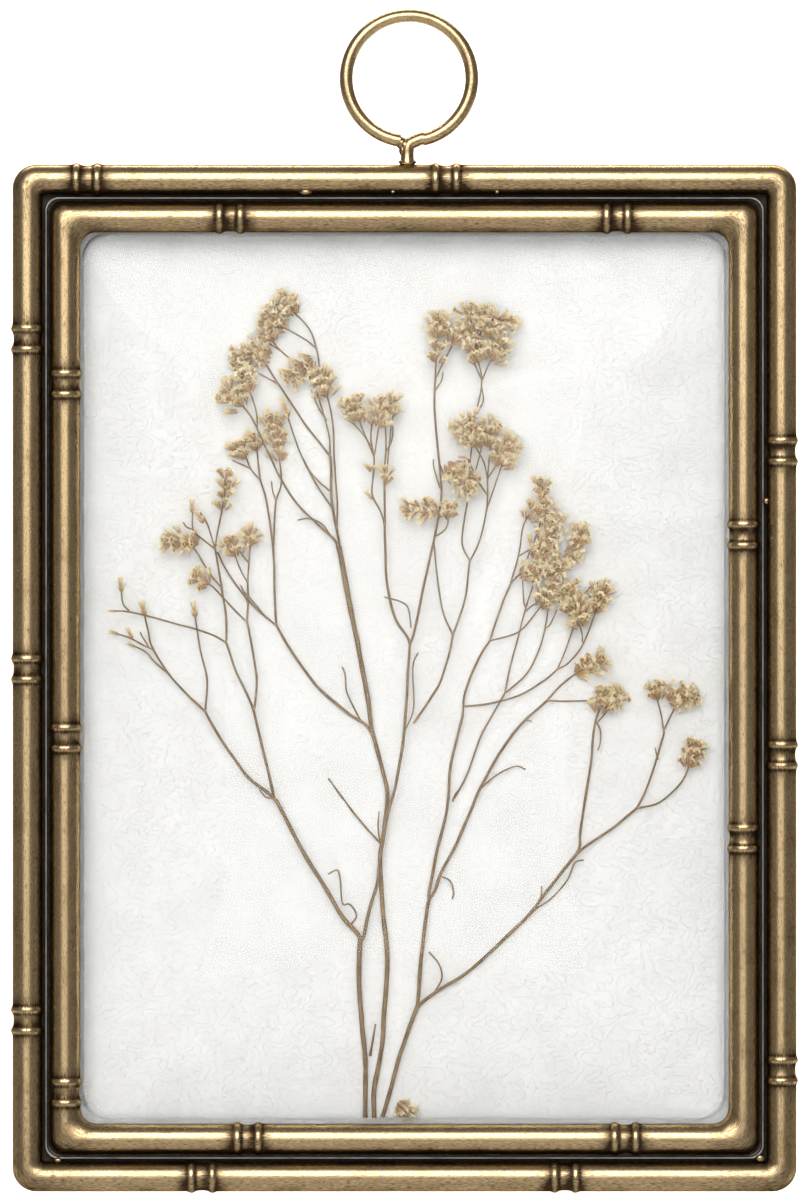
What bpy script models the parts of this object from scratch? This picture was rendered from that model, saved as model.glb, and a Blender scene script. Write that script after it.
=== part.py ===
"""Pressed flower frame: dried stems on handmade paper behind domed glass, in a brass bamboo frame.

The frame hangs on a nail by its ring. The origin is the point inside the top of the ring that
bears on the nail. X runs right along the wall, Y runs into the wall and Z runs up.
"""

import math
from collections import namedtuple

import bmesh
import bpy
from mathutils import Euler, Vector

MM = 0.001
WELD_DISTANCE = 0.001 * MM
SMOOTH_ANGLE = math.radians(50)

# Sight opening, the part of the picture that the inner rim leaves open
SIGHT_WIDTH = 129.6 * MM
SIGHT_HEIGHT = 178.2 * MM
RIM_DROP = 28.5 * MM
SIGHT_CENTRE_X = -0.9 * MM

# Bamboo rods, measured outwards from the edge of the sight opening
ROD_RADIUS = 3.0 * MM
ROD_SIDES = 8
INNER_ROD_OUT = 3.02 * MM
OUTER_ROD_OUT = 10.6 * MM
BORDER = OUTER_ROD_OUT + ROD_RADIUS
INNER_ROD_CORNERS = (3.2 * MM, 2.8 * MM)
OUTER_ROD_CORNERS = (0.6 * MM, 4.8 * MM)
CORNER_STEPS = 4

# One bamboo joint: distance along the rod and swell of the rod there
JOINT_PROFILE = (
    (-2.7 * MM, 1.0),
    (-2.05 * MM, 1.1),
    (-1.5 * MM, 0.94),
    (1.5 * MM, 0.94),
    (2.05 * MM, 1.1),
    (2.7 * MM, 1.0),
)

# The drawing grid: its step, and the grid point that lies on the hanging point.
# X counts to the right and Y counts down.
GRID = 0.2 * MM
HANGING_GRID_X = 409
HANGING_GRID_Y = 22

# Middles of the bamboo joints, on the drawing grid
OUTER_JOINTS = {
    "top": (87, 446),
    "right": (451, 755, 1070),
    "bottom": (565, 202),
    "left": (1020, 669, 339),
}
INNER_JOINTS = {
    "top": (230, 617),
    "right": (535, 838),
    "bottom": (625, 248),
    "left": (1092, 738, 384),
}

# Hanging ring: one bent wire whose right end turns down as the shank
WIRE_RADIUS = 1.3 * MM
RING_RADIUS = 12.57 * MM
RING_STEPS = 24
RING_FIRST_ANGLE = 262
RING_LAST_ANGLE = -75
SHANK_BEND = ((1.0 * MM, -23.9 * MM), (-0.1 * MM, -24.6 * MM), (-0.34 * MM, -26.0 * MM))
SHANK_END = (-0.34 * MM, -28.2 * MM)
SOLDER_CENTRE = (-1.5 * MM, 0.0, -24.2 * MM)
SOLDER_RADII = (1.2 * MM, 1.15 * MM, 1.3 * MM)

# Depths behind the middle of the rods, which is Y = 0
GLASS_FRONT = 3.6 * MM
GLASS_THICKNESS = 2.0 * MM
PAPER_FRONT = 6.9 * MM
PAPER_THICKNESS = 0.4 * MM
BOARD_FRONT = 7.6 * MM
BOARD_THICKNESS = 2.5 * MM
TRAY_BACK = 10.6 * MM
SHEET_REACH = 4.9 * MM
SHEET_CORNER = 2.3 * MM

# Domed glass: the foot of the dome lies just inside the sight opening
DOME_FOOT_IN = 1.0 * MM
DOME_FOOT_CORNER = 5.2 * MM
DOME_RISE = 7.0 * MM
DOME_RUN = 55.0 * MM
DOME_POWER = 3.2
DOME_CORNER_GROWTH = 0.45
# The least straight run that a level line of the dome keeps beside each corner
DOME_FLAT = 1.0 * MM
DOME_RINGS = (0.0, 1.5 * MM, 4.0 * MM, 9.0 * MM, 18.0 * MM, 32.0 * MM, 52.0 * MM)

# Brass channel: its section as (out from the sight edge, depth)
PLATE_FRONT = 3.6 * MM
PLATE_BACK = 4.2 * MM
CHANNEL_SECTION = (
    (5.2 * MM, PLATE_FRONT),
    (6.3 * MM, PLATE_FRONT),
    (6.3 * MM, 0.5 * MM),
    (6.62 * MM, 0.3 * MM),
    (6.62 * MM, -0.8 * MM),
    (7.08 * MM, -0.8 * MM),
    (7.08 * MM, 0.3 * MM),
    (7.3 * MM, 0.5 * MM),
    (7.3 * MM, PLATE_FRONT),
    (12.0 * MM, PLATE_FRONT),
    (12.0 * MM, PLATE_BACK),
    (5.8 * MM, PLATE_BACK),
    (5.8 * MM, TRAY_BACK),
    (5.2 * MM, TRAY_BACK),
)
CHANNEL_CORNER = 2.6 * MM
TAB_WIDTH = 8.0 * MM
TAB_REACH = (1.6 * MM, 5.76 * MM)
TAB_DEPTH = (10.4 * MM, 10.9 * MM)
TAB_SIDE_PLACES = (-45.0 * MM, 45.0 * MM)

# Plants: a strand is one run of stem, with its route on the drawing grid. Its two widths and
# two heights are at its first and last point, in millimetres, and heights are over the paper.
# A strand reaches its last height at the point that settle counts, or at its end.
Strand = namedtuple("Strand", "route width height settle", defaults=(None,))

# A bloom is a ragged head or a bud: its middle and size on the drawing grid, and the height of
# its middle over the paper and its thickness, in millimetres.
Bloom = namedtuple("Bloom", "place size height thickness")
BIG_BLOOM = 40
SMALL_BLOOM = 15
BLOOM_VALLEY = 0.84
# Each bloom of a branch is turned by as much more, in radians, so no two look alike
BLOOM_TURN = (2.4, 1.2, 0.4)

MAIN_STEM_WIDTH = 0.6

STEM_A_FOOT = (
    Strand(((365, 1120), (365, 1060), (362, 1027), (359, 988), (359, 962), (360, 941)),
           (0.85, 0.9), (0.65, 0.9)),
)
STEM_A_LEFT = (
    Strand(((357.5, 935), (341, 916), (323, 885), (306, 858), (291, 830), (275.5, 800)),
           (0.8, 0.7), (0.9, 1.9)),
    Strand(((350, 926), (356, 919), (355, 912), (349, 905), (342, 904), (340, 880), (337, 871),
            (328, 875)), (0.35, 0.3), (1.0, 1.6)),
)
STEM_A_LEFT_LOW = (
    Strand(((268, 793.5), (249, 779), (234, 759), (219, 737), (205, 712)),
           (0.6, 0.45), (1.9, 1.5)),
    Strand(((205, 712), (186, 694), (169, 675), (152, 648), (148, 631), (143, 609)),
           (0.42, 0.3), (1.5, 1.2)),
    Strand(((153, 650), (142, 645), (129, 638), (114, 633)), (0.3, 0.28), (1.2, 1.2)),
    Strand(((168, 674), (154, 662), (145, 652), (131, 645)), (0.3, 0.28), (1.3, 1.2)),
    Strand(((205, 712), (206.7, 680), (200, 650), (194, 610)), (0.38, 0.3), (1.5, 1.2)),
)
STEM_A_LEFT_LOW_BLOOMS = (
    Bloom((143, 609), (8, 14), 1.2, 1.0),
    Bloom((194, 610), (8, 14), 1.2, 1.0),
    Bloom((114, 633), (9, 8), 1.2, 0.9),
    Bloom((130, 634), (7, 11), 1.2, 0.9),
    Bloom((131, 645), (8, 6), 1.2, 0.8),
)
STEM_A_LEFT_TALL = (
    Strand(((273.5, 795.5), (262, 747), (253.5, 711)), (0.6, 0.5), (2.0, 2.3)),
    Strand(((253.5, 711), (246, 693), (235, 670), (226, 643)), (0.45, 0.4), (2.3, 2.4)),
    Strand(((226, 643), (210, 634), (180, 625), (135, 613), (114, 611)),
           (0.36, 0.3), (2.4, 2.4)),
    Strand(((130, 612), (123, 603), (121, 585)), (0.3, 0.28), (2.4, 2.4)),
    Strand(((226, 643), (226, 618), (221, 585), (215, 549)), (0.4, 0.36), (2.4, 2.4)),
    Strand(((215, 549), (217, 535), (224, 497), (225, 478)), (0.34, 0.3), (2.4, 2.4)),
    Strand(((215, 549), (208, 526), (200, 512)), (0.3, 0.28), (2.4, 2.4)),
    Strand(((215, 549), (200, 537), (193, 529), (192.5, 508)), (0.3, 0.28), (2.4, 2.4)),
    Strand(((221.5, 588), (210, 574), (190, 544), (171, 541)), (0.3, 0.28), (2.4, 2.4)),
    Strand(((253.5, 711), (256.5, 686), (255, 666), (247, 622)), (0.45, 0.4), (2.3, 2.4)),
    Strand(((247, 622), (235, 611), (215, 589), (202, 580)), (0.36, 0.3), (2.4, 2.4)),
    Strand(((247, 622), (248, 600), (247.5, 583), (251, 537)), (0.36, 0.3), (2.4, 2.4)),
    Strand(((247.5, 583), (241, 571), (231, 546)), (0.3, 0.28), (2.4, 2.4)),
)
STEM_A_LEFT_TALL_BLOOMS = (
    Bloom((112, 611), (7, 6), 2.4, 0.8),
    Bloom((121, 585), (9, 13), 2.4, 1.0),
    Bloom((224, 497), (15, 26), 2.5, 2.2),
    Bloom((225, 477), (14, 25), 2.5, 2.0),
    Bloom((200, 517), (6, 13), 2.4, 0.8),
    Bloom((192, 506), (8, 12), 2.4, 0.9),
    Bloom((170, 541), (25, 16), 2.4, 2.2),
    Bloom((190, 542), (16, 18), 2.4, 2.2),
    Bloom((199, 577), (20, 16), 2.4, 2.2),
    Bloom((231, 545), (20, 21), 2.5, 2.4),
    Bloom((251, 536), (21, 23), 2.5, 2.4),
)
STEM_A_RIGHT = (
    Strand(((363.5, 937), (367, 921), (372, 902), (377, 885), (380, 860), (387, 818), (395, 788),
            (403, 744), (406, 710), (408.5, 667), (410, 643)), (0.75, 0.5), (0.9, 2.2), 3),
    Strand(((405, 731), (412, 716), (414, 702), (413, 667), (418, 653)), (0.3, 0.28), (2.2, 2.2)),
)
STEM_A_CROWN_LEFT = (
    Strand(((406.5, 636), (395, 618), (387, 583), (385, 543), (384.5, 500), (384, 468)),
           (0.5, 0.4), (2.2, 2.2)),
    Strand(((384, 470), (386, 450), (385, 415)), (0.36, 0.3), (2.2, 2.4)),
    Strand(((386, 452), (392, 438), (393, 415)), (0.3, 0.28), (2.2, 2.4)),
    Strand(((384.5, 525), (380, 510), (372, 493), (374, 470), (374, 455)),
           (0.34, 0.3), (2.2, 2.2)),
    Strand(((374, 457), (368, 442), (357, 415)), (0.3, 0.28), (2.2, 2.4)),
    Strand(((374, 457), (371, 440), (372, 425), (376, 412)), (0.3, 0.28), (2.2, 2.4)),
    Strand(((384, 597), (401, 602), (408.5, 609), (411, 628)), (0.3, 0.28), (2.2, 2.2)),
)
STEM_A_CROWN_LEFT_BLOOMS = (
    Bloom((354, 408), (27, 25), 2.6, 3.0),
    Bloom((380, 413), (20, 24), 2.6, 3.0),
    Bloom((391, 402), (20, 26), 2.7, 3.0),
    Bloom((370, 467), (20, 10), 2.3, 1.6),
    Bloom((387, 475), (9, 20), 2.3, 1.6),
    Bloom((369, 495), (10, 9), 2.2, 1.2),
)
STEM_A_CROWN = (
    Strand(((413, 636), (418, 615), (426.5, 573), (434, 540), (441, 500), (440, 469),
            (434.7, 409), (437, 349), (439, 325)), (0.5, 0.34), (2.2, 2.6)),
    Strand(((435.8, 378), (446, 357), (457, 336)), (0.3, 0.28), (2.4, 2.5)),
    Strand(((434.6, 537), (447, 527), (448, 509)), (0.3, 0.28), (2.35, 2.6)),
    Strand(((438.5, 514), (428, 510), (409, 509)), (0.3, 0.28), (2.4, 2.6)),
    Strand(((413.5, 724), (432, 697), (441, 680), (450, 652), (453, 635)),
           (0.45, 0.4), (2.2, 2.2)),
    Strand(((453, 635), (443, 612), (437, 573), (434, 542)), (0.34, 0.3), (2.2, 2.2)),
    Strand(((453, 635), (465, 600), (470, 561)), (0.38, 0.34), (2.2, 2.2)),
    Strand(((470, 561), (462, 541), (468.5, 495), (470, 462), (476, 415), (482, 380),
            (477, 350), (488, 320), (509, 322)), (0.32, 0.28), (2.2, 2.7)),
    Strand(((481.5, 382), (490, 362), (499, 349)), (0.3, 0.28), (2.6, 2.7)),
    Strand(((477, 350), (470, 318)), (0.3, 0.28), (2.65, 2.7)),
    Strand(((470, 561), (480, 540), (487, 507), (488, 475), (491, 440)),
           (0.32, 0.28), (2.2, 2.5)),
    Strand(((488, 478), (497, 464), (507, 450)), (0.3, 0.28), (2.2, 2.5)),
)
STEM_A_CROWN_BLOOMS = (
    Bloom((439, 324), (24, 27), 2.8, 3.0),
    Bloom((437, 349), (21, 24), 2.8, 3.0),
    Bloom((457, 336), (18, 13), 2.5, 2.0),
    Bloom((409, 509), (22, 19), 2.6, 2.6),
    Bloom((428, 510), (24, 22), 2.8, 3.0),
    Bloom((448, 509), (22, 20), 2.8, 3.0),
    Bloom((470, 317), (21, 36), 2.8, 3.2),
    Bloom((488, 320), (24, 40), 3.0, 3.4),
    Bloom((509, 322), (24, 18), 2.8, 2.6),
    Bloom((476, 350), (26, 22), 2.8, 3.0),
    Bloom((499, 349), (24, 20), 2.8, 3.0),
    Bloom((470, 430), (25, 36), 2.8, 3.4),
    Bloom((489, 431), (23, 36), 2.9, 3.4),
    Bloom((507, 450), (23, 34), 2.8, 3.2),
    Bloom((463, 479), (25, 42), 2.8, 3.4),
)
STEM_B_FOOT = (
    Strand(((374, 1120), (374, 1090), (382, 1046), (384, 1014), (387.5, 962), (383.5, 919),
            (380, 862), (383, 838), (387.5, 800), (383, 773), (373.5, 737)),
           (0.85, 0.75), (0.65, 0.8)),
    Strand(((382, 846), (365, 827), (350, 809), (328, 779)), (0.36, 0.3), (0.8, 0.8)),
)
STEM_B_LEFT = (
    Strand(((365.5, 725), (350, 715), (321, 691), (310, 678), (290, 650), (276, 625)),
           (0.55, 0.45), (0.9, 0.8)),
    Strand(((361, 722), (350, 700), (346, 690), (345, 675), (342, 667)), (0.3, 0.28), (0.9, 0.9)),
    Strand(((276, 625), (274, 591), (273, 552), (266, 501), (260, 478), (256, 442)),
           (0.42, 0.32), (0.8, 1.1)),
    Strand(((260.5, 480), (251, 469), (244, 452)), (0.3, 0.28), (1.0, 1.1)),
    Strand(((273, 550), (275, 504), (281, 481), (277, 447), (273, 427)),
           (0.34, 0.3), (0.8, 1.1)),
    Strand(((276, 625), (267, 618), (246, 598), (226, 570), (217, 552)), (0.34, 0.3), (0.8, 0.8)),
)
STEM_B_LEFT_BLOOMS = (
    Bloom((255, 441), (15, 18), 1.2, 1.6),
    Bloom((239, 447), (20, 21), 1.2, 1.6),
    Bloom((273, 425), (22, 32), 1.2, 1.6),
    Bloom((277, 447), (14, 26), 1.2, 1.5),
)
STEM_B_MIDDLE = (
    Strand(((371.5, 729), (369.5, 714), (366.5, 693), (355, 631), (350, 607), (341, 558),
            (338.3, 546)), (0.75, 1.0), (0.9, 0.9)),
)
STEM_B_CROWN_LEFT = (
    Strand(((333.5, 539), (315, 522), (299, 506), (282, 481), (264, 444), (250, 415),
            (232, 396)), (0.5, 0.32), (0.9, 2.6), 3),
    Strand(((257, 430), (256, 411), (247, 383)), (0.3, 0.28), (2.6, 3.2)),
)
STEM_B_CROWN_LEFT_BLOOMS = (
    Bloom((230, 394), (36, 17), 2.7, 2.0),
    Bloom((246, 379), (13, 28), 3.3, 1.5),
)
STEM_B_CROWN = (
    Strand(((338.5, 540), (332, 505), (331, 470), (330, 456)), (0.5, 0.45), (0.9, 1.1)),
    Strand(((330, 456), (312, 433), (295, 409), (275, 379), (257, 354), (239, 358)),
           (0.38, 0.3), (1.1, 1.3)),
    Strand(((330, 456), (328, 431), (318, 396), (304, 367), (292, 376)),
           (0.32, 0.28), (1.1, 1.6)),
    Strand(((336.5, 528), (337, 499), (334, 458), (332, 417), (323, 381)),
           (0.34, 0.3), (1.0, 1.6)),
    Strand(((332, 508), (313, 478), (300, 453), (285, 409)), (0.32, 0.28), (1.0, 1.4)),
    Strand(((321, 376), (317, 352), (309, 329), (286, 304)), (0.32, 0.28), (1.6, 1.7)),
    Strand(((316, 348), (305, 339), (272, 321)), (0.3, 0.28), (1.6, 1.7)),
    Strand(((303, 368), (281, 351), (268, 335)), (0.3, 0.28), (1.6, 1.5)),
)
STEM_B_CROWN_BLOOMS = (
    Bloom((285, 303), (26, 23), 1.8, 2.6),
    Bloom((271, 320), (33, 17), 1.8, 2.4),
    Bloom((268, 334), (14, 13), 1.5, 1.6),
    Bloom((257, 352), (23, 27), 1.3, 1.8),
    Bloom((238, 358), (21, 26), 1.3, 1.8),
    Bloom((285, 408), (10, 18), 1.4, 1.3),
    Bloom((292, 376), (24, 15), 1.6, 2.0),
    Bloom((304, 366), (19, 17), 1.7, 2.4),
    Bloom((322, 380), (23, 34), 1.8, 2.6),
)
STEM_C_FOOT = (
    Strand(((381, 1120), (386, 1106), (401, 1053), (417.5, 1007)), (0.75, 0.75), (0.65, 0.8)),
)
STEM_C_MIDDLE = (
    Strand(((418.5, 1001), (421, 962), (427, 911), (429.5, 899)), (0.7, 0.65), (0.85, 0.85)),
)
STEM_C_LEFT = (
    Strand(((429.3, 893), (437, 852), (447.5, 808), (451, 765), (463, 716)),
           (0.62, 0.5), (0.85, 0.95)),
)
STEM_C_RIGHT = (
    Strand(((435, 891.5), (441.5, 873), (458, 842), (480.5, 789), (501, 752), (523, 723),
            (547.5, 701)), (0.6, 0.45), (0.9, 1.0)),
    Strand(((547.5, 701), (568, 701.5), (588, 701)), (0.32, 0.28), (1.0, 1.0)),
    Strand(((547.5, 701), (562, 685), (580, 671), (594, 664)), (0.36, 0.3), (1.0, 1.2)),
    Strand(((480, 790), (496, 776), (515, 767), (526, 770)), (0.3, 0.28), (1.0, 1.0)),
    Strand(((440, 877), (450.5, 882), (454, 893), (452.5, 900)), (0.3, 0.28), (0.9, 0.9)),
)
STEM_C_RIGHT_BLOOMS = (
    Bloom((583, 670), (13, 16), 1.3, 1.6),
    Bloom((598, 662), (20, 21), 1.4, 2.0),
)
STEM_C_CROWN = (
    Strand(((463.3, 709), (465.5, 692), (479, 659), (490, 641)), (0.45, 0.4), (0.95, 1.2)),
    Strand(((490, 641), (502.5, 604), (510.5, 585)), (0.38, 0.34), (1.2, 1.4)),
    Strand(((510.5, 585), (520, 551), (523, 527), (532, 510)), (0.32, 0.28), (1.4, 1.8)),
    Strand(((510.5, 585), (517, 577), (528, 570)), (0.3, 0.28), (1.4, 1.6)),
    Strand(((518, 557), (530, 550), (542, 547), (553, 524)), (0.3, 0.28), (1.5, 2.0)),
    Strand(((490, 641), (518.6, 632), (539.5, 608.6), (549, 596)), (0.3, 0.28), (1.2, 1.8)),
    Strand(((527.5, 559), (538, 531), (544, 506), (542, 486)), (0.3, 0.28), (1.6, 1.9)),
    Strand(((463.5, 707), (490, 704), (518.6, 696), (543, 682), (557, 670)),
           (0.36, 0.34), (0.95, 1.2)),
    Strand(((557, 670), (570, 662), (585, 641), (601, 597)), (0.32, 0.28), (1.2, 1.8)),
    Strand(((558, 669), (567, 647), (577, 613), (570, 595)), (0.3, 0.28), (1.2, 1.8)),
    Strand(((452.5, 802.5), (467, 776), (480.5, 738), (505, 694)), (0.36, 0.34), (0.95, 1.0)),
    Strand(((505, 694), (512, 661), (526.6, 607), (535, 580)), (0.32, 0.28), (1.0, 1.7)),
    Strand(((505, 694), (530, 670), (545, 631), (550, 595), (556, 568), (574, 553),
            (580, 535)), (0.32, 0.28), (1.0, 1.9)),
)
STEM_C_CROWN_BLOOMS = (
    Bloom((533, 509), (15, 21), 2.0, 2.4),
    Bloom((542, 485), (18, 22), 2.0, 2.4),
    Bloom((545, 505), (16, 22), 2.0, 2.4),
    Bloom((553, 523), (26, 26), 2.1, 3.0),
    Bloom((543, 548), (18, 26), 2.0, 2.8),
    Bloom((556, 567), (22, 26), 2.1, 3.0),
    Bloom((533, 571), (24, 18), 2.0, 2.6),
    Bloom((550, 594), (23, 29), 2.1, 3.0),
    Bloom((569, 594), (24, 27), 2.1, 3.0),
    Bloom((577, 612), (34, 24), 2.0, 2.8),
    Bloom((601, 595), (22, 33), 2.0, 2.8),
    Bloom((574, 553), (20, 17), 2.0, 2.4),
    Bloom((580, 534), (17, 24), 2.0, 2.4),
)
STEM_D_FOOT = (
    Strand(((424.5, 1001.5), (441, 990), (472, 970), (514, 931), (533, 912), (545, 895),
            (578, 853.5)), (0.62, 0.55), (0.85, 1.0)),
    Strand(((534, 911), (550, 901), (567.6, 881), (575, 864), (584, 861)), (0.3, 0.28), (0.95, 1.0)),
    Strand(((434, 995), (441, 983), (442, 974), (438, 963), (429, 953)), (0.3, 0.28), (0.9, 0.9)),
)
STEM_D_UP = (
    Strand(((580.5, 846), (581, 828), (591, 765), (592.5, 744), (595.4, 724), (602, 704)),
           (0.5, 0.36), (1.0, 1.3)),
    Strand(((595, 726), (607, 712), (614, 702)), (0.3, 0.28), (1.2, 1.4)),
)
STEM_D_UP_BLOOMS = (
    Bloom((602, 700), (17, 25), 1.6, 2.2),
    Bloom((614, 699), (18, 25), 1.6, 2.2),
)
STEM_D_RIGHT = (
    Strand(((585, 848), (613, 829), (637, 809)), (0.5, 0.45), (1.0, 1.1)),
    Strand(((637, 809), (649, 784), (663, 739), (664, 731)), (0.38, 0.34), (1.1, 1.2)),
    Strand(((664, 731), (661.6, 716), (656, 694)), (0.3, 0.28), (1.2, 1.3)),
    Strand(((664, 731), (673, 712), (679, 699), (690, 696)), (0.3, 0.28), (1.2, 1.4)),
    Strand(((637, 809), (660, 803), (683, 781), (692, 757)), (0.36, 0.3), (1.1, 1.2)),
)
STEM_D_RIGHT_BLOOMS = (
    Bloom((656, 690), (13, 21), 1.4, 1.8),
    Bloom((679, 697), (19, 29), 1.4, 1.9),
    Bloom((690, 696), (16, 27), 1.4, 1.8),
    Bloom((693, 752), (14, 32), 1.3, 1.7),
)
LOOSE_LEAF = (
    Strand(((370, 1057), (372, 1046), (375.5, 1025)), (0.5, 0.3), (0.7, 0.7)),
)
FALLEN_FLORET = (
    Strand(((398, 1104), (403, 1110), (409, 1117)), (0.4, 0.3), (0.8, 0.8)),
)
FALLEN_FLORET_BLOOMS = (
    Bloom((404, 1111), (14, 15), 0.85, 1.0),
)

PLANT_NODES = (
    ("stem_a_foot", STEM_A_FOOT, ()),
    ("stem_a_left", STEM_A_LEFT, ()),
    ("stem_a_left_low", STEM_A_LEFT_LOW, STEM_A_LEFT_LOW_BLOOMS),
    ("stem_a_left_tall", STEM_A_LEFT_TALL, STEM_A_LEFT_TALL_BLOOMS),
    ("stem_a_right", STEM_A_RIGHT, ()),
    ("stem_a_crown_left", STEM_A_CROWN_LEFT, STEM_A_CROWN_LEFT_BLOOMS),
    ("stem_a_crown", STEM_A_CROWN, STEM_A_CROWN_BLOOMS),
    ("stem_b_foot", STEM_B_FOOT, ()),
    ("stem_b_left", STEM_B_LEFT, STEM_B_LEFT_BLOOMS),
    ("stem_b_middle", STEM_B_MIDDLE, ()),
    ("stem_b_crown_left", STEM_B_CROWN_LEFT, STEM_B_CROWN_LEFT_BLOOMS),
    ("stem_b_crown", STEM_B_CROWN, STEM_B_CROWN_BLOOMS),
    ("stem_c_foot", STEM_C_FOOT, ()),
    ("stem_c_middle", STEM_C_MIDDLE, ()),
    ("stem_c_left", STEM_C_LEFT, ()),
    ("stem_c_right", STEM_C_RIGHT, STEM_C_RIGHT_BLOOMS),
    ("stem_c_crown", STEM_C_CROWN, STEM_C_CROWN_BLOOMS),
    ("stem_d_foot", STEM_D_FOOT, ()),
    ("stem_d_up", STEM_D_UP, STEM_D_UP_BLOOMS),
    ("stem_d_right", STEM_D_RIGHT, STEM_D_RIGHT_BLOOMS),
    ("loose_leaf", LOOSE_LEAF, ()),
    ("fallen_floret", FALLEN_FLORET, FALLEN_FLORET_BLOOMS),
)

SIGHT_CENTRE_Z = -(RIM_DROP + BORDER + SIGHT_HEIGHT / 2)


def clear_scene():
    """Remove every object that the file opened with."""
    for item in list(bpy.data.objects):
        bpy.data.objects.remove(item, do_unlink=True)


def new_collection(name):
    """Return a new collection in the scene."""
    collection = bpy.data.collections.new(name)
    bpy.context.scene.collection.children.link(collection)
    return collection


def finish(name, colour, roughness, metallic=0.0, transmission=0.0):
    """Return a Principled material."""
    material = bpy.data.materials.new(name)
    material.use_nodes = True
    shader = material.node_tree.nodes["Principled BSDF"]
    shader.inputs["Base Color"].default_value = (*colour, 1.0)
    shader.inputs["Roughness"].default_value = roughness
    shader.inputs["Metallic"].default_value = metallic
    shader.inputs["Transmission Weight"].default_value = transmission
    return material


def grid_x(value):
    """Return the place in metres of a grid column."""
    return (value - HANGING_GRID_X) * GRID


def grid_z(value):
    """Return the place in metres of a grid row."""
    return (HANGING_GRID_Y - value) * GRID


def place_mesh(name, bm, collection, material, smooth=False):
    """Turn a bmesh into an object, shaded smooth where it is round."""
    mesh = bpy.data.meshes.new(name)
    bm.to_mesh(mesh)
    bm.free()
    if smooth:
        mesh.shade_smooth()
        mesh.set_sharp_from_angle(angle=SMOOTH_ANGLE)
    item = bpy.data.objects.new(name, mesh)
    item.data.materials.append(material)
    collection.objects.link(item)
    return item


def hide_helper(item):
    """Mark an object as a helper that is no piece of the frame."""
    item.hide_render = True
    item.display_type = "WIRE"


def skin(rings, closed):
    """Return a bmesh skinned over a run of rings that have as many points each."""
    bm = bmesh.new()
    rows = [[bm.verts.new(point) for point in ring] for ring in rings]
    pairs = list(zip(rows, rows[1:]))
    if closed:
        pairs.append((rows[-1], rows[0]))
    count = len(rows[0])
    for first, second in pairs:
        for index in range(count):
            after = (index + 1) % count
            bm.faces.new((first[index], first[after], second[after], second[index]))
    if not closed:
        bm.faces.new(rows[0])
        bm.faces.new(rows[-1])
    bmesh.ops.recalc_face_normals(bm, faces=bm.faces)
    return bm


def corner_stations(corner, first_angle):
    """Return the stations round one corner, each with no swell."""
    step = 90 / (CORNER_STEPS - 1)
    return [(corner, math.radians(first_angle - step * index), 1.0) for index in range(CORNER_STEPS)]


def side_stations(side, places):
    """Return the stations of the bamboo joints on one side, in the order of travel."""
    stations = []
    along = grid_x if side in ("top", "bottom") else grid_z
    heading = 1 if side in ("top", "left") else -1
    centre = SIGHT_CENTRE_X if side in ("top", "bottom") else SIGHT_CENTRE_Z
    for place in places:
        for offset, swell in JOINT_PROFILE:
            stations.append((side, along(place) - centre + heading * offset, swell))
    return stations


def rim_stations(joints):
    """Return all stations clockwise from the top left corner."""
    return (
        corner_stations((-1, 1), 180)
        + side_stations("top", joints.get("top", ()))
        + corner_stations((1, 1), 90)
        + side_stations("right", joints.get("right", ()))
        + corner_stations((1, -1), 0)
        + side_stations("bottom", joints.get("bottom", ()))
        + corner_stations((-1, -1), -90)
        + side_stations("left", joints.get("left", ()))
    )


def station_point(station, out, depth, corner_radius):
    """Return the point of a station at a distance out from the sight edge."""
    kind, value, _ = station
    half_width = SIGHT_WIDTH / 2 + out
    half_height = SIGHT_HEIGHT / 2 + out
    if kind == "top":
        x, z = value, half_height
    elif kind == "bottom":
        x, z = value, -half_height
    elif kind == "right":
        x, z = half_width, value
    elif kind == "left":
        x, z = -half_width, value
    else:
        x = kind[0] * (half_width - corner_radius) + corner_radius * math.cos(value)
        z = kind[1] * (half_height - corner_radius) + corner_radius * math.sin(value)
    return Vector((SIGHT_CENTRE_X + x, depth, SIGHT_CENTRE_Z + z))


def build_rim(name, rod_out, corners, joints, collection, material):
    """Build one bamboo rim: a round rod that runs round the sight opening, with its joints."""
    inside, outside = corners
    rings = []
    for station in rim_stations(joints):
        ring = []
        for index in range(ROD_SIDES):
            angle = 2 * math.pi * index / ROD_SIDES
            outward = math.cos(angle)
            radius = ROD_RADIUS * station[2]
            corner = inside + (outside - inside) * (outward + 1) / 2
            ring.append(station_point(station, rod_out + radius * outward,
                                      radius * math.sin(angle), corner))
        rings.append(ring)
    return place_mesh(name, skin(rings, closed=True), collection, material, smooth=True)


def build_channel(collection, helpers, material):
    """Build the brass channel that carries the rims and holds the glass, with its bent tabs."""
    rings = []
    for station in rim_stations({}):
        rings.append([station_point(station, out, depth, CHANNEL_CORNER)
                      for out, depth in CHANNEL_SECTION])
    channel = place_mesh("brass_channel", skin(rings, closed=True), collection, material)
    tabs = new_collection("channel_tabs")
    for side in ("left", "right"):
        for place in TAB_SIDE_PLACES:
            build_tab(side, place, tabs, material)
    for side in ("top", "bottom"):
        build_tab(side, 0.0, tabs, material)
    helpers.children.link(tabs)
    bpy.context.scene.collection.children.unlink(tabs)
    join_with(channel, tabs)
    return channel


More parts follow.
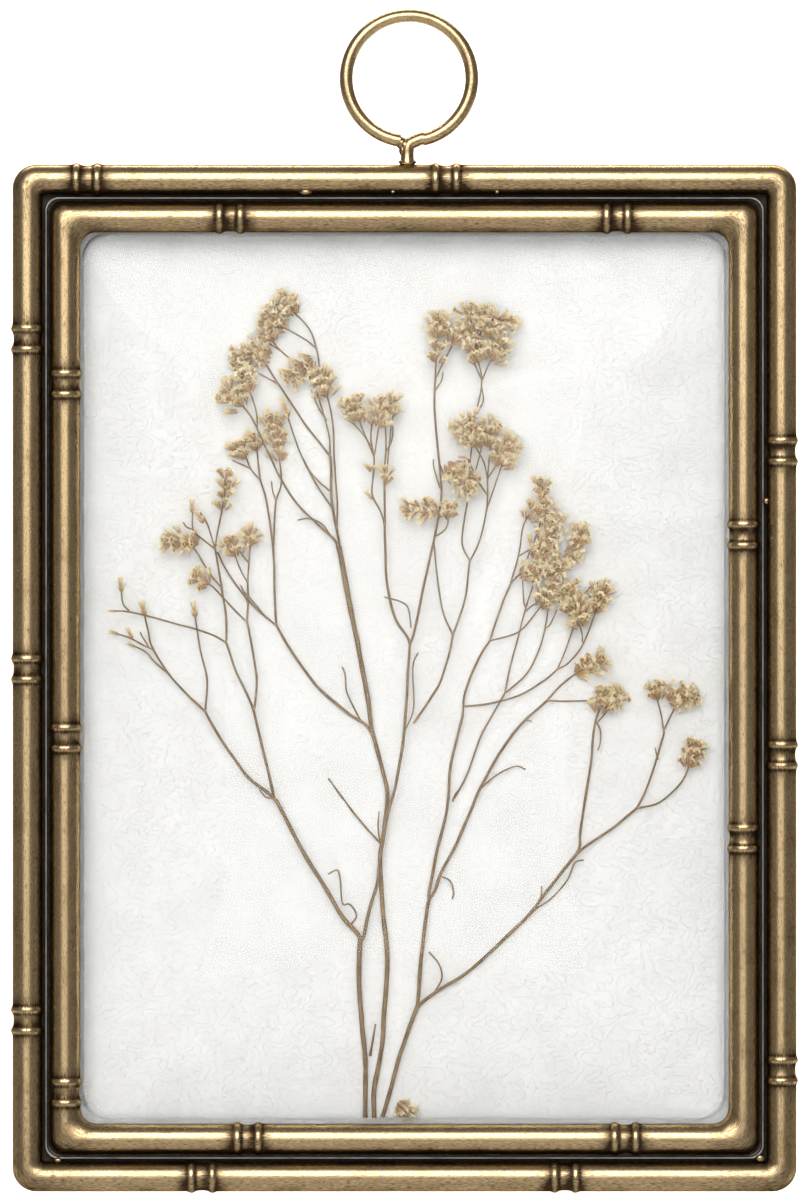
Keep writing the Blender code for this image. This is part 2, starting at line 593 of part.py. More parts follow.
def build_tab(side, place, collection, material):
    """Build one tab that is bent from the channel's wall over the back board."""
    near, far = TAB_REACH
    first, last = TAB_DEPTH
    middle = station_point((side, place, 1.0), (near + far) / 2, (first + last) / 2, 0.0)
    size = (far - near, last - first, TAB_WIDTH)
    if side in ("top", "bottom"):
        size = (TAB_WIDTH, last - first, far - near)
    bm = bmesh.new()
    bmesh.ops.create_cube(bm, size=1.0)
    bmesh.ops.scale(bm, vec=size, verts=bm.verts)
    bmesh.ops.translate(bm, vec=middle, verts=bm.verts)
    hide_helper(place_mesh(f"tab_{side}", bm, collection, material))


def join_with(item, collection):
    """Fuse all shapes of a helper collection to an object."""
    union = item.modifiers.new("Union", "BOOLEAN")
    union.operation = "UNION"
    union.solver = "EXACT"
    union.operand_type = "COLLECTION"
    union.collection = collection


def tube_mesh(name, points, radii, resolution):
    """Return the closed mesh of a tube along a route."""
    curve = bpy.data.curves.new(name, "CURVE")
    curve.dimensions = "3D"
    curve.bevel_depth = 1.0
    curve.bevel_resolution = resolution
    curve.use_fill_caps = True
    spline = curve.splines.new("POLY")
    spline.points.add(len(points) - 1)
    for target, point, radius in zip(spline.points, points, radii):
        target.co = (*point, 1.0)
        target.radius = radius
    guide = bpy.data.objects.new(name, curve)
    bpy.context.scene.collection.objects.link(guide)
    graph = bpy.context.evaluated_depsgraph_get()
    mesh = bpy.data.meshes.new_from_object(guide.evaluated_get(graph))
    bpy.data.objects.remove(guide, do_unlink=True)
    bpy.data.curves.remove(curve)
    bm = bmesh.new()
    bm.from_mesh(mesh)
    bpy.data.meshes.remove(mesh)
    bmesh.ops.remove_doubles(bm, verts=bm.verts, dist=WELD_DISTANCE)
    bmesh.ops.recalc_face_normals(bm, faces=bm.faces)
    return bm


def build_ring(collection, helpers, material):
    """Build the hanging ring: one bent wire, closed by a drop of solder at its foot."""
    centre_z = WIRE_RADIUS - RING_RADIUS
    points = []
    for step in range(RING_STEPS + 1):
        turn = RING_FIRST_ANGLE + (RING_LAST_ANGLE - RING_FIRST_ANGLE) * step / RING_STEPS
        angle = math.radians(turn)
        points.append((RING_RADIUS * math.cos(angle), 0.0,
                       centre_z + RING_RADIUS * math.sin(angle)))
    for x, z in SHANK_BEND + (SHANK_END,):
        points.append((x, 0.0, z))
    bm = tube_mesh("hanging_ring", points, [WIRE_RADIUS] * len(points), 2)
    ring = place_mesh("hanging_ring", bm, collection, material, smooth=True)
    solder = new_collection("ring_solder")
    drop = bmesh.new()
    bmesh.ops.create_icosphere(drop, subdivisions=1, radius=1.0)
    bmesh.ops.scale(drop, vec=SOLDER_RADII, verts=drop.verts)
    bmesh.ops.translate(drop, vec=SOLDER_CENTRE, verts=drop.verts)
    hide_helper(place_mesh("solder_drop", drop, solder, material))
    helpers.children.link(solder)
    bpy.context.scene.collection.children.unlink(solder)
    join_with(ring, solder)
    return ring


def dome_ring(inset, depth):
    """Return one level line of the dome, which gets rounder towards the middle."""
    half_width = SIGHT_WIDTH / 2 - DOME_FOOT_IN - inset
    corner = min(DOME_FOOT_CORNER + DOME_CORNER_GROWTH * inset, half_width - DOME_FLAT)
    return [station_point(station, -DOME_FOOT_IN - inset, depth, corner)
            for station in rim_stations({})]


def build_glass(collection, material):
    """Build the domed glass: a flat flange behind the inner rim and a crown that rises forward."""
    flange = [station_point(station, SHEET_REACH, GLASS_FRONT, SHEET_CORNER)
              for station in rim_stations({})]
    front = [flange]
    for inset in DOME_RINGS:
        rise = DOME_RISE * (1 - (1 - inset / DOME_RUN) ** DOME_POWER)
        front.append(dome_ring(inset, GLASS_FRONT - rise))
    behind = Vector((0.0, GLASS_THICKNESS, 0.0))
    back = [[point + behind for point in ring] for ring in front]
    dome = skin(list(reversed(front)) + back, closed=False)
    bmesh.ops.triangulate(dome, faces=dome.faces)
    return place_mesh("domed_glass", dome, collection, material, smooth=True)


def build_sheet(name, front, thickness, collection, material):
    """Build a flat sheet of the tray's size with small round corners."""
    width = SIGHT_WIDTH + 2 * SHEET_REACH
    height = SIGHT_HEIGHT + 2 * SHEET_REACH
    bpy.ops.mesh.primitive_cube_add(size=1.0)
    sheet = bpy.context.object
    sheet.name = name
    sheet.data.name = name
    sheet.scale = (width, thickness, height)
    bpy.ops.object.transform_apply(location=False, rotation=False, scale=True)
    sheet.location = (SIGHT_CENTRE_X, front + thickness / 2, SIGHT_CENTRE_Z)
    for edge in sheet.data.edges:
        ends = [sheet.data.vertices[index].co for index in edge.vertices]
        weight = 1.0 if abs(ends[0].y - ends[1].y) > thickness / 2 else 0.0
        attribute = (sheet.data.attributes.get("bevel_weight_edge")
                     or sheet.data.attributes.new("bevel_weight_edge", "FLOAT", "EDGE"))
        attribute.data[edge.index].value = weight
    bevel = sheet.modifiers.new("Corners", "BEVEL")
    bevel.limit_method = "WEIGHT"
    bevel.width = SHEET_CORNER
    bevel.segments = 2
    for holder in list(sheet.users_collection):
        holder.objects.unlink(sheet)
    collection.objects.link(sheet)
    sheet.data.materials.append(material)
    return sheet


def strand_mesh(name, strand):
    """Return the mesh of one strand of stem."""
    count = len(strand.route)
    settle = strand.settle or count - 1
    points = []
    radii = []
    for index, (column, row) in enumerate(strand.route):
        rise = min(index / settle, 1.0)
        height = strand.height[0] + (strand.height[1] - strand.height[0]) * rise
        share = index / (count - 1)
        width = strand.width[0] + (strand.width[1] - strand.width[0]) * share
        points.append((grid_x(column), PAPER_FRONT - height * MM, grid_z(row)))
        radii.append(width * MM / 2)
    resolution = 1 if strand.width[0] >= MAIN_STEM_WIDTH else 0
    return tube_mesh(name, points, radii, resolution)


def bloom_mesh(bloom, number):
    """Return the mesh of one ragged head, whose points are the mouths of its florets."""
    bm = bmesh.new()
    tip_edges = 4
    if max(bloom.size) >= BIG_BLOOM:
        bmesh.ops.create_icosphere(bm, subdivisions=2, radius=1.0)
        tip_edges = 5
    else:
        bmesh.ops.create_uvsphere(bm, u_segments=4, v_segments=2, radius=1.0)
        if max(bloom.size) > SMALL_BLOOM:
            bmesh.ops.subdivide_edges(bm, edges=bm.edges, cuts=1, use_grid_fill=True)
    turn = Euler(angle * number for angle in BLOOM_TURN)
    width, height = bloom.size
    half_size = Vector((width * GRID / 2, bloom.thickness * MM / 2, height * GRID / 2))
    column, row = bloom.place
    middle = Vector((grid_x(column), PAPER_FRONT - bloom.height * MM, grid_z(row)))
    for vert in bm.verts:
        reach = 1.0 if len(vert.link_edges) == tip_edges else BLOOM_VALLEY
        direction = vert.co.normalized() * reach
        direction.rotate(turn)
        vert.co = middle + Vector(a * b for a, b in zip(direction, half_size))
    return bm


def build_plant(name, strands, blooms, collection, helpers, material):
    """Build one branch of the dried plant: its strands and blooms, fused in one solid."""
    first = strand_mesh(name, strands[0])
    branch = place_mesh(name, first, collection, material, smooth=True)
    if len(strands) + len(blooms) == 1:
        return branch
    growth = new_collection(f"growth_{name}")
    for index, strand in enumerate(strands[1:]):
        piece_name = f"strand_{name}_{index}"
        hide_helper(place_mesh(piece_name, strand_mesh(piece_name, strand), growth, material))
    for index, bloom in enumerate(blooms):
        hide_helper(place_mesh(f"bloom_{name}_{index}", bloom_mesh(bloom, index + 1), growth,
                               material))
    helpers.children.link(growth)
    bpy.context.scene.collection.children.unlink(growth)
    join_with(branch, growth)
    return branch


def main():
    """Build the frame, its ring, the glass, the sheets and the plants."""
    clear_scene()
    parts = new_collection("pressed_flower_frame")
    helpers = new_collection("cutters")
    brass = finish("aged_brass", (0.44, 0.33, 0.17), 0.35, metallic=1.0)
    dark_brass = finish("dark_brass", (0.16, 0.13, 0.09), 0.5, metallic=1.0)
    glass = finish("clear_glass", (0.95, 0.97, 0.96), 0.02, transmission=1.0)
    paper = finish("handmade_paper", (0.86, 0.86, 0.84), 0.9)
    board = finish("grey_board", (0.38, 0.33, 0.27), 0.85)
    plant = finish("dried_plant", (0.5, 0.38, 0.24), 0.8)

    build_rim("outer_bamboo_rim", OUTER_ROD_OUT, OUTER_ROD_CORNERS, OUTER_JOINTS, parts, brass)
    build_rim("inner_bamboo_rim", INNER_ROD_OUT, INNER_ROD_CORNERS, INNER_JOINTS, parts, brass)
    build_channel(parts, helpers, dark_brass)
    build_ring(parts, helpers, brass)
    build_glass(parts, glass)
    build_sheet("handmade_paper", PAPER_FRONT, PAPER_THICKNESS, parts, paper)
    build_sheet("back_board", BOARD_FRONT, BOARD_THICKNESS, parts, board)
    for name, strands, blooms in PLANT_NODES:
        build_plant(name, strands, blooms, parts, helpers, plant)


main()
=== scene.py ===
"""Pressed flower frame: dried stems on handmade paper behind domed glass, in a brass bamboo frame.

The frame hangs by its ring. X runs right along the wall, Y into the wall and Z up, in metres.
"""

import math
import random
from collections import namedtuple

import bpy
from bpy.props import FloatProperty, FloatVectorProperty, IntProperty, PointerProperty
from mathutils import Matrix, Vector, noise


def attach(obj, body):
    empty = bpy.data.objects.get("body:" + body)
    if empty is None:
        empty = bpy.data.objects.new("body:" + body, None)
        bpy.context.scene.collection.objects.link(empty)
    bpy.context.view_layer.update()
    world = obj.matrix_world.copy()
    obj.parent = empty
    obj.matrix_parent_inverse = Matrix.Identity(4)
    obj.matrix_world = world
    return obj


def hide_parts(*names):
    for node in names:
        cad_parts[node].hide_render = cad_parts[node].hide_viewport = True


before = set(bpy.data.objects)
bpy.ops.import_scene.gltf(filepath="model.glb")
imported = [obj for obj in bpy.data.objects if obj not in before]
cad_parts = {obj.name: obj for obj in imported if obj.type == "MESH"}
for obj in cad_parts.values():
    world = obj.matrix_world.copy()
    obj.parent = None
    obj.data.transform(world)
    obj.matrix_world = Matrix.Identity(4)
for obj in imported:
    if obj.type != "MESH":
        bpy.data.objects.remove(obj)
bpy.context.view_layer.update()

bl_info = {
    "name": "Pressed Flower Frame",
    "version": (1, 0, 0),
    "blender": (4, 5, 0),
    "location": "View3D > Sidebar > Flower Frame",
    "description": "Builds a hanging brass bamboo frame with dried flowers behind domed glass",
    "category": "Add Mesh",
}

MM = 0.001

# The sight opening, which the inner rim leaves open
SIGHT_WIDTH = 129.6 * MM
SIGHT_HEIGHT = 178.2 * MM
SIGHT_CENTRE = Vector((-0.9 * MM, 0.0, -131.2 * MM))

# The drawing grid of the plants: its step, and the grid point that lies on the hanging point
GRID = 0.2 * MM
HANGING_GRID_X = 409
HANGING_GRID_Y = 22

# Bamboo rods: how far out of the sight edge their middles run, and their corner radii
INNER_ROD_OUT = 3.02 * MM
OUTER_ROD_OUT = 10.6 * MM
INNER_ROD_CORNERS = (3.2 * MM, 2.8 * MM)
OUTER_ROD_CORNERS = (0.6 * MM, 4.8 * MM)

# Points round a rod's section, and how far from a joint's middle its plain stations keep
ROD_POINTS = 28
JOINT_REACH = 6.5 * MM

# One bamboo joint: place along the rod, width of the rod there, and how dark its patina is
JOINT = (
    (-6.0, 1.0, 0.0), (-4.6, 1.0, 0.2), (-3.5, 1.0, 0.55), (-3.05, 1.0, 0.9), (-2.8, 1.02, 0.8),
    (-2.5, 1.075, 0.25), (-2.1, 1.105, 0.0), (-1.7, 1.08, 0.2), (-1.4, 1.02, 0.8),
    (-1.1, 0.965, 0.95), (-0.5, 0.935, 0.75), (0.2, 0.935, 0.4), (0.7, 0.945, 0.35),
    (1.1, 0.965, 0.8), (1.4, 1.02, 0.8), (1.7, 1.08, 0.2), (2.1, 1.105, 0.0), (2.5, 1.075, 0.25),
    (2.8, 1.02, 0.8), (3.05, 1.0, 0.95), (3.5, 1.0, 0.65), (4.6, 1.0, 0.3), (6.0, 1.0, 0.0),
)
OUTER_JOINTS = {"top": (87, 446), "right": (451, 755, 1070), "bottom": (565, 202),
                "left": (1020, 669, 339)}
INNER_JOINTS = {"top": (230, 617), "right": (535, 838), "bottom": (625, 248),
                "left": (1092, 738, 384)}

# Drops of solder on the outer rim: place on the grid, depth and radii in millimetres
SOLDER = (
    (306, 192, -1.3, (1.3, 0.8, 0.7)), (393, 192, -1.4, (0.5, 0.5, 0.4)),
    (497, 192, -1.4, (0.5, 0.5, 0.45)), (766, 501, -0.8, (0.7, 0.7, 0.75)),
    (58, 1160, -0.6, (0.9, 0.7, 0.6)), (760, 1158, -0.8, (1.0, 0.8, 0.8)),
)

# The ring's bend: its first and last angle in degrees, and its number of steps
RING_ANGLES = (262, -75)
RING_STEPS = 72

# The ring's shank as (x, z), and its drops of solder as place and radii, in millimetres
RING_SHANK = ((2.6, -23.2), (1.9, -23.5), (1.0, -23.9), (0.35, -24.2), (-0.1, -24.7),
              (-0.28, -25.3), (-0.34, -26.0), (-0.34, -27.0), (-0.34, -28.2))
RING_DROPS = (
    ((-1.5, 0.0, -24.2), (1.2, 1.15, 1.3)), ((-0.7, -0.05, -24.7), (1.15, 1.2, 1.2)),
    ((-0.35, -0.1, -28.1), (1.75, 1.1, 0.7)), ((-1.3, -0.2, -25.6), (0.7, 0.8, 1.2)),
)

# The place that the soft lights face
STAGE_MIDDLE = (-0.001, 0.0, -0.13)

# Depths behind the middle of the rods
GLASS_FRONT = 3.6 * MM
PAPER_FRONT = 6.9 * MM
BOARD_FRONT = 7.6 * MM
SHEET_REACH = 4.9 * MM
SHEET_CORNER = 2.3 * MM


def grid_point(column, row, height):
    """Return the place of a grid point at a height over the paper, in millimetres."""
    return Vector(((column - HANGING_GRID_X) * GRID, PAPER_FRONT - height * MM,
                   (HANGING_GRID_Y - row) * GRID))


def deselect_all():
    """Leave no object selected."""
    if bpy.context.object and bpy.context.object.mode != "OBJECT":
        bpy.ops.object.mode_set(mode="OBJECT")
    bpy.ops.object.select_all(action="DESELECT")


def piece_named(name):
    """Name the active object and its mesh, and return it."""
    piece = bpy.context.object
    piece.name = name
    piece.data.name = name
    return piece


def dress(piece, material, slot, *nodes):
    """Give a piece its material, its body and the frame nodes that it stands for. The slot is not used."""
    piece.data.materials.clear()
    piece.data.materials.append(material)
    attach(piece, "root")
    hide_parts(*nodes)


def pick(*pieces):
    """Select these pieces alone and make the first one active."""
    deselect_all()
    for piece in pieces:
        piece.select_set(True)
    bpy.context.view_layer.objects.active = pieces[0]


def turn_outwards(merge=0.0, fill=False):
    """Merge the active mesh's doubles, fill its holes and turn its faces outwards."""
    bpy.ops.object.mode_set(mode="EDIT")
    bpy.ops.mesh.select_all(action="SELECT")
    if merge:
        bpy.ops.mesh.remove_doubles(threshold=merge)
    if fill:
        bpy.ops.mesh.fill_holes(sides=0)
        bpy.ops.mesh.select_all(action="SELECT")
    bpy.ops.mesh.normals_make_consistent(inside=False)
    bpy.ops.object.mode_set(mode="OBJECT")


def clamp(value):
    """Return a value kept between 0 and 1."""
    return max(0.0, min(1.0, value))


def smooth_shade(piece, angle):
    """Shade a piece smooth up to an angle in degrees."""
    pick(piece)
    bpy.ops.object.shade_smooth_by_angle(angle=math.radians(angle))


def join_pieces(name, parts):
    """Join parts to one piece."""
    pick(*parts)
    if len(parts) > 1:
        bpy.ops.object.join()
    return piece_named(name)


def side_point(side, value, out, depth, corner_radius):
    """Return a point beside the sight edge. A corner is a pair of signs, and its value an angle."""
    half_width = SIGHT_WIDTH / 2 + out
    half_height = SIGHT_HEIGHT / 2 + out
    if side == "top":
        x, z = value, half_height
    elif side == "bottom":
        x, z = value, -half_height
    elif side == "right":
        x, z = half_width, value
    elif side == "left":
        x, z = -half_width, value
    else:
        x = side[0] * (half_width - corner_radius) + corner_radius * math.cos(value)
        z = side[1] * (half_height - corner_radius) + corner_radius * math.sin(value)
    return Vector((SIGHT_CENTRE.x + x, depth, SIGHT_CENTRE.z + z))


def corner_stations(corner, first_angle, steps):
    """Return the stations round one corner: the same width all the way, and a little patina."""
    turn = 90.0 / steps
    return [(corner, math.radians(first_angle - turn * index), 1.0, 0.3)
            for index in range(steps + 1)]


def side_stations(side, places, spacing):
    """Return the stations along one side: those of its joints, and plain ones between them."""
    flat = side in ("top", "bottom")
    heading = 1 if side in ("top", "left") else -1
    if side in ("left", "right"):
        middles = [(HANGING_GRID_Y - place) * GRID - SIGHT_CENTRE.z for place in places]
    else:
        middles = [(place - HANGING_GRID_X) * GRID - SIGHT_CENTRE.x for place in places]
    half = (SIGHT_WIDTH if flat else SIGHT_HEIGHT) / 2
    stations = [(side, middle + heading * offset * MM, width, patina_and_shade)
                for middle in middles for offset, width, patina_and_shade in JOINT]
    count = int(2 * half / spacing)
    for step in range(1, count):
        value = heading * (-half + 2 * half * step / count)
        if all(abs(value - middle) > JOINT_REACH for middle in middles):
            stations.append((side, value, 1.0, 0.0))
    return sorted(stations, key=lambda station: heading * station[1])


def rim_stations(joints, spacing=5 * MM, steps=8):
    """Return all stations clockwise from the top left corner."""
    stations = []
    for corner, first_angle, side in (((-1, 1), 180, "top"), ((1, 1), 90, "right"),
                                      ((1, -1), 0, "bottom"), ((-1, -1), -90, "left")):
        stations += corner_stations(corner, first_angle, steps)
        stations += side_stations(side, joints.get(side, ()), spacing)
    return stations


def wrapped_skin(name, loops, marks, tube=True):
    """Return a grid wrapped over loops of points that go round the frame, with a UV map in metres.

    A tube's loops are closed. Otherwise the loops are open, and the holes at their ends are
    filled. U runs along the loops and V across them, and V starts at each loop's first point.
    Marks are lists of one number for each point, by name.
    """
    count, around = len(loops), len(loops[0])
    deselect_all()
    bpy.ops.mesh.primitive_grid_add(x_subdivisions=count,
                                    y_subdivisions=around if tube else around - 1)
    piece = piece_named(name)
    mesh = piece.data
    places = [(index % (count + 1), index // (count + 1)) for index in range(len(mesh.vertices))]
    for vertex, (row, column) in zip(mesh.vertices, places):
        vertex.co = loops[row % count][column % around]
    for key, values in marks.items():
        mark(piece, key, [values[row % count * around + column % around]
                          for row, column in places])
    runs = [0.0]
    for index, loop in enumerate(loops):
        after = loops[(index + 1) % count]
        runs.append(runs[-1] + (sum(after, Vector()) - sum(loop, Vector())).length / around)
    crossings = [0.0]
    for index in range(around):
        crossings.append(crossings[-1] + (loops[0][(index + 1) % around] - loops[0][index]).length)
    layer = mesh.uv_layers.active
    for corner in mesh.loops:
        row, column = places[corner.vertex_index]
        layer.data[corner.index].uv = (runs[row], crossings[column])
    pick(piece)
    turn_outwards(merge=0.0005 * MM, fill=True)
    return piece


def mark(piece, name, values):
    """Store one number for each vertex of a piece, for its material."""
    attribute = piece.data.attributes.new(name, "FLOAT", "POINT")
    attribute.data.foreach_set("value", values)


def upward_share(side, value):
    """Return how far a station's outward direction points up, from -1 to 1."""
    flat = {"top": 1.0, "bottom": -1.0, "left": 0.0, "right": 0.0}
    return flat[side] if isinstance(side, str) else math.sin(value)


def bamboo_rim(name, radius, rod_out, corners, joints, groove_sign):
    """Build one bamboo rim: a brass rod round the sight opening with its cast joints, its patina and
    painted shade.
    """
    inside, outside = corners
    loops, patina_and_shade = [], []
    for side, value, width, stain in rim_stations(joints):
        loop = []
        for index in range(ROD_POINTS):
            angle = math.pi / 2 + 2 * math.pi * index / ROD_POINTS
            outward, back = math.cos(angle), math.sin(angle)
            reach = radius * width
            corner = inside + (outside - inside) * (outward + 1) / 2
            loop.append(side_point(side, value, rod_out + reach * outward, reach * back, corner))
            # Painted shade: the back and the edges seen from the front are stored dark, the side facing the
            # groove between the rims darkens as patina and painted shade, and the underside darkens. The
            # joint stations carry the brass's own patina.
            shade = clamp((back + 0.42) / 0.5)
            groove_patina_and_shade = clamp((groove_sign * outward - 0.6) / 0.3)
            underside_shade = clamp(-upward_share(side, value) * outward / 0.8)
            patina_and_shade.append(min(1.0, max(stain, 0.85 * shade, 0.9 * groove_patina_and_shade) + 0.5 * underside_shade))
        loops.append(loop)
    rim = wrapped_skin(name, loops, {"patina_and_shade": patina_and_shade})
    smooth_shade(rim, 60)
    return rim


def solder_drop(place, radii):
    """Build one rounded drop of solder, a little uneven. Its radii are in millimetres."""
    radii = [size * MM for size in radii]
    deselect_all()
    bpy.ops.mesh.primitive_uv_sphere_add(segments=20, ring_count=12, radius=1.0)
    drop = piece_named("drop")
    for vertex in drop.data.vertices:
        swell = 1.0 + 0.12 * noise.noise(vertex.co * 1.3 + Vector(place) * 900)
        vertex.co = vertex.co * swell
    drop.data.transform(Matrix.Translation(place) @ Matrix.Diagonal((*radii, 1.0)))
    for corner in drop.data.uv_layers.active.data:
        corner.uv *= DROP_MAP_SIZE
    # Painted shade: the drop's back and sides are stored darker than its front.
    mark(drop, "patina_and_shade", [0.12 if vertex.co.y < place[1] - 0.4 * radii[1] else 0.7
                          for vertex in drop.data.vertices])
    smooth_shade(drop, 180)
    return drop


def front_spot(column, row, depth):
    """Return a place on the photograph's plane by grid point, at a depth in millimetres."""
    return ((column - HANGING_GRID_X) * GRID, depth * MM, (HANGING_GRID_Y - row) * GRID)


# How large one step of a drop's own map is on its brass
DROP_MAP_SIZE = 0.004

# Brass channel: its section as (out from the sight edge, depth, share of the raised edge's finish)
CHANNEL_SECTION = (
    (5.2, 3.6, 0.0), (6.3, 3.6, 0.0), (6.3, 0.5, 0.0), (6.62, 0.32, 0.0), (6.67, 0.1, 0.0),
    (6.69, -0.6, 0.3), (6.72, -0.74, 1.0), (6.8, -0.8, 1.0), (6.9, -0.8, 1.0), (6.98, -0.74, 1.0),
    (7.01, -0.6, 0.3), (7.03, 0.1, 0.0), (7.08, 0.32, 0.0), (7.3, 0.5, 0.0), (7.3, 3.6, 0.0),
    (12.0, 3.6, 0.0), (12.0, 4.2, 0.0), (5.8, 4.2, 0.0), (5.8, 10.6, 0.0), (5.2, 10.6, 0.0),
)
CHANNEL_CORNER = 2.6 * MM
TABS = (("left", -45.0), ("left", 45.0), ("right", -45.0), ("right", 45.0), ("top", 0.0),
        ("bottom", 0.0))


def channel_piece(name):
    """Build the sheet brass channel behind the rims, with its raised edge and its bent tabs."""
    loops, lip = [], []
    for side, value, _, _ in rim_stations({}, spacing=3 * MM):
        loops.append([side_point(side, value, out * MM, depth * MM, CHANNEL_CORNER)
                      for out, depth, _ in CHANNEL_SECTION])
        lip.extend(share for _, _, share in CHANNEL_SECTION)
    channel = wrapped_skin(name, loops, {"lip": lip})
    parts = [channel]
    for side, place in TABS:
        middle = side_point(side, place * MM, 3.68 * MM, 10.65 * MM, 0.0)
        deselect_all()
        bpy.ops.mesh.primitive_cube_add(size=1.0)
        tab = piece_named("tab")
        across = side in ("top", "bottom")
        size = (8.0, 0.5, 4.16) if across else (4.16, 0.5, 8.0)
        tab.data.transform(Matrix.Translation(middle) @ Matrix.Diagonal((*(Vector(size) * MM), 1)))
        bevel = tab.modifiers.new("Worn edges", "BEVEL")
        bevel.width = 0.2 * MM
        bevel.segments = 3
        bpy.ops.object.modifier_apply(modifier=bevel.name)
        parts.append(tab)
    channel = join_pieces(name, parts)
    smooth_shade(channel, 35)
    return channel


def wire_ring(name, wire_radius, ring_radius):
    """Build the hanging ring: a bent wire that turns down as its own shank, and its solder."""
    centre_z = wire_radius - ring_radius
    points = []
    first, last = RING_ANGLES
    for step in range(RING_STEPS + 1):
        angle = math.radians(first + (last - first) * step / RING_STEPS)
        points.append(Vector((ring_radius * math.cos(angle), 0.0,
                              centre_z + ring_radius * math.sin(angle))))
    points.extend(Vector((x * MM, 0.0, z * MM)) for x, z in RING_SHANK)
    widths = [wire_radius] * len(points)
    widths[-1] = wire_radius * 1.12
    ring = tubes_from(name, [(points, widths)], 16)
    # Painted shade: the wire's back and sides are stored darker than its front.
    mark(ring, "patina_and_shade", [clamp((vertex.co.y / wire_radius + 0.4) / 1.1) * 0.8
                          for vertex in ring.data.vertices])
    drops = [solder_drop([value * MM for value in place], radii) for place, radii in RING_DROPS]
    ring = join_pieces(name, [ring] + drops)
    smooth_shade(ring, 60)
    return ring


def tubes_from(name, runs, sides):
    """Return closed round tubes as one mesh. A run is its points and the radius at each."""
    deselect_all()
    bpy.ops.object.add(type="CURVE")
    guide = piece_named(name)
    curve = guide.data
    curve.dimensions = "3D"
    curve.bevel_depth = 1.0
    curve.bevel_resolution = sides // 2 - 2
    curve.use_fill_caps = True
    for points, radii in runs:
        spline = curve.splines.new("POLY")
        spline.points.add(len(points) - 1)
        for target, point, radius in zip(spline.points, points, radii):
            target.co = (*point, 1.0)
            target.radius = radius
    bpy.ops.object.convert(target="MESH")
    piece = piece_named(name)
    turn_outwards(merge=0.001 * MM)
    return piece


# Level lines of the dome, in millimetres in from its foot
DOME_INSETS = (0.0, 0.15, 0.4, 0.8, 1.5, 2.5, 4.0, 6.0, 8.5, 11.5, 15.0, 19.0, 23.5, 28.5, 34.0, 40.0,
               46.0, 52.0)

# The dome's sharp first bend, the distance in at which it would be flat, and how round it is
DOME_BEND = 0.3 * MM
DOME_BEND_WIDTH = 0.15 * MM
DOME_SPAN = 55.0 * MM
DOME_POWER = 3.2

# The crease round the crown's foot is this far off the middle
CREASE_SHIFT = Vector((-0.1 * MM, 0.0, 0.3 * MM))


def dome_rise(inset, rise):
    """Return how far the glass stands forward at a distance in from the dome's foot."""
    bend = DOME_BEND * min(1.0, inset / DOME_BEND_WIDTH)
    return bend + (rise - DOME_BEND) * (1 - (1 - inset / DOME_SPAN) ** DOME_POWER)


def level_point(side, value, out, depth, corner):
    """Return a point of one level line, whose straight runs get shorter as its corners grow."""
    if isinstance(side, str):
        half = (SIGHT_WIDTH if side in ("top", "bottom") else SIGHT_HEIGHT) / 2
        value *= (half + out - corner) / half
    return side_point(side, value, out, depth, corner)


def glass_piece(name, rise, thickness):
    """Build the domed glass: a flat flange behind the inner rim, and a crown that rises forward.

    The crease that the photograph shows as a thin dark line runs round the crown's foot.
    """
    rows = [(SHEET_REACH, 0.0, SHEET_CORNER, 0.0), (0.4 * MM, 0.0, 4.0 * MM, 0.0),
            (-0.22 * MM, 0.0, 5.0 * MM, 1.0), (-0.5 * MM, 0.95 * MM, 5.2 * MM, 1.0),
            (-0.58 * MM, 0.0, 5.3 * MM, 1.0)]
    for inset in DOME_INSETS:
        half_width = SIGHT_WIDTH / 2 - (1.0 + inset) * MM
        corner = min((5.7 + 0.45 * inset) * MM, half_width - 1.0 * MM)
        rows.append((-(1.0 + inset) * MM, -dome_rise(inset * MM, rise), corner, 0.0))
    loops = []
    for side, value, _, _ in rim_stations({}, spacing=6 * MM):
        across, behind = [], []
        for out, lift, corner, shifted in rows:
            place = level_point(side, value, out, GLASS_FRONT, corner)
            place += CREASE_SHIFT * shifted
            across.append(place + Vector((0.0, lift, 0.0)))
            behind.append(place + Vector((0.0, min(lift, 0.0) + thickness, 0.0)))
        loops.append(across[::-1] + behind)
    glass = wrapped_skin(name, loops, {}, tube=False)
    smooth_shade(glass, 40)
    return glass


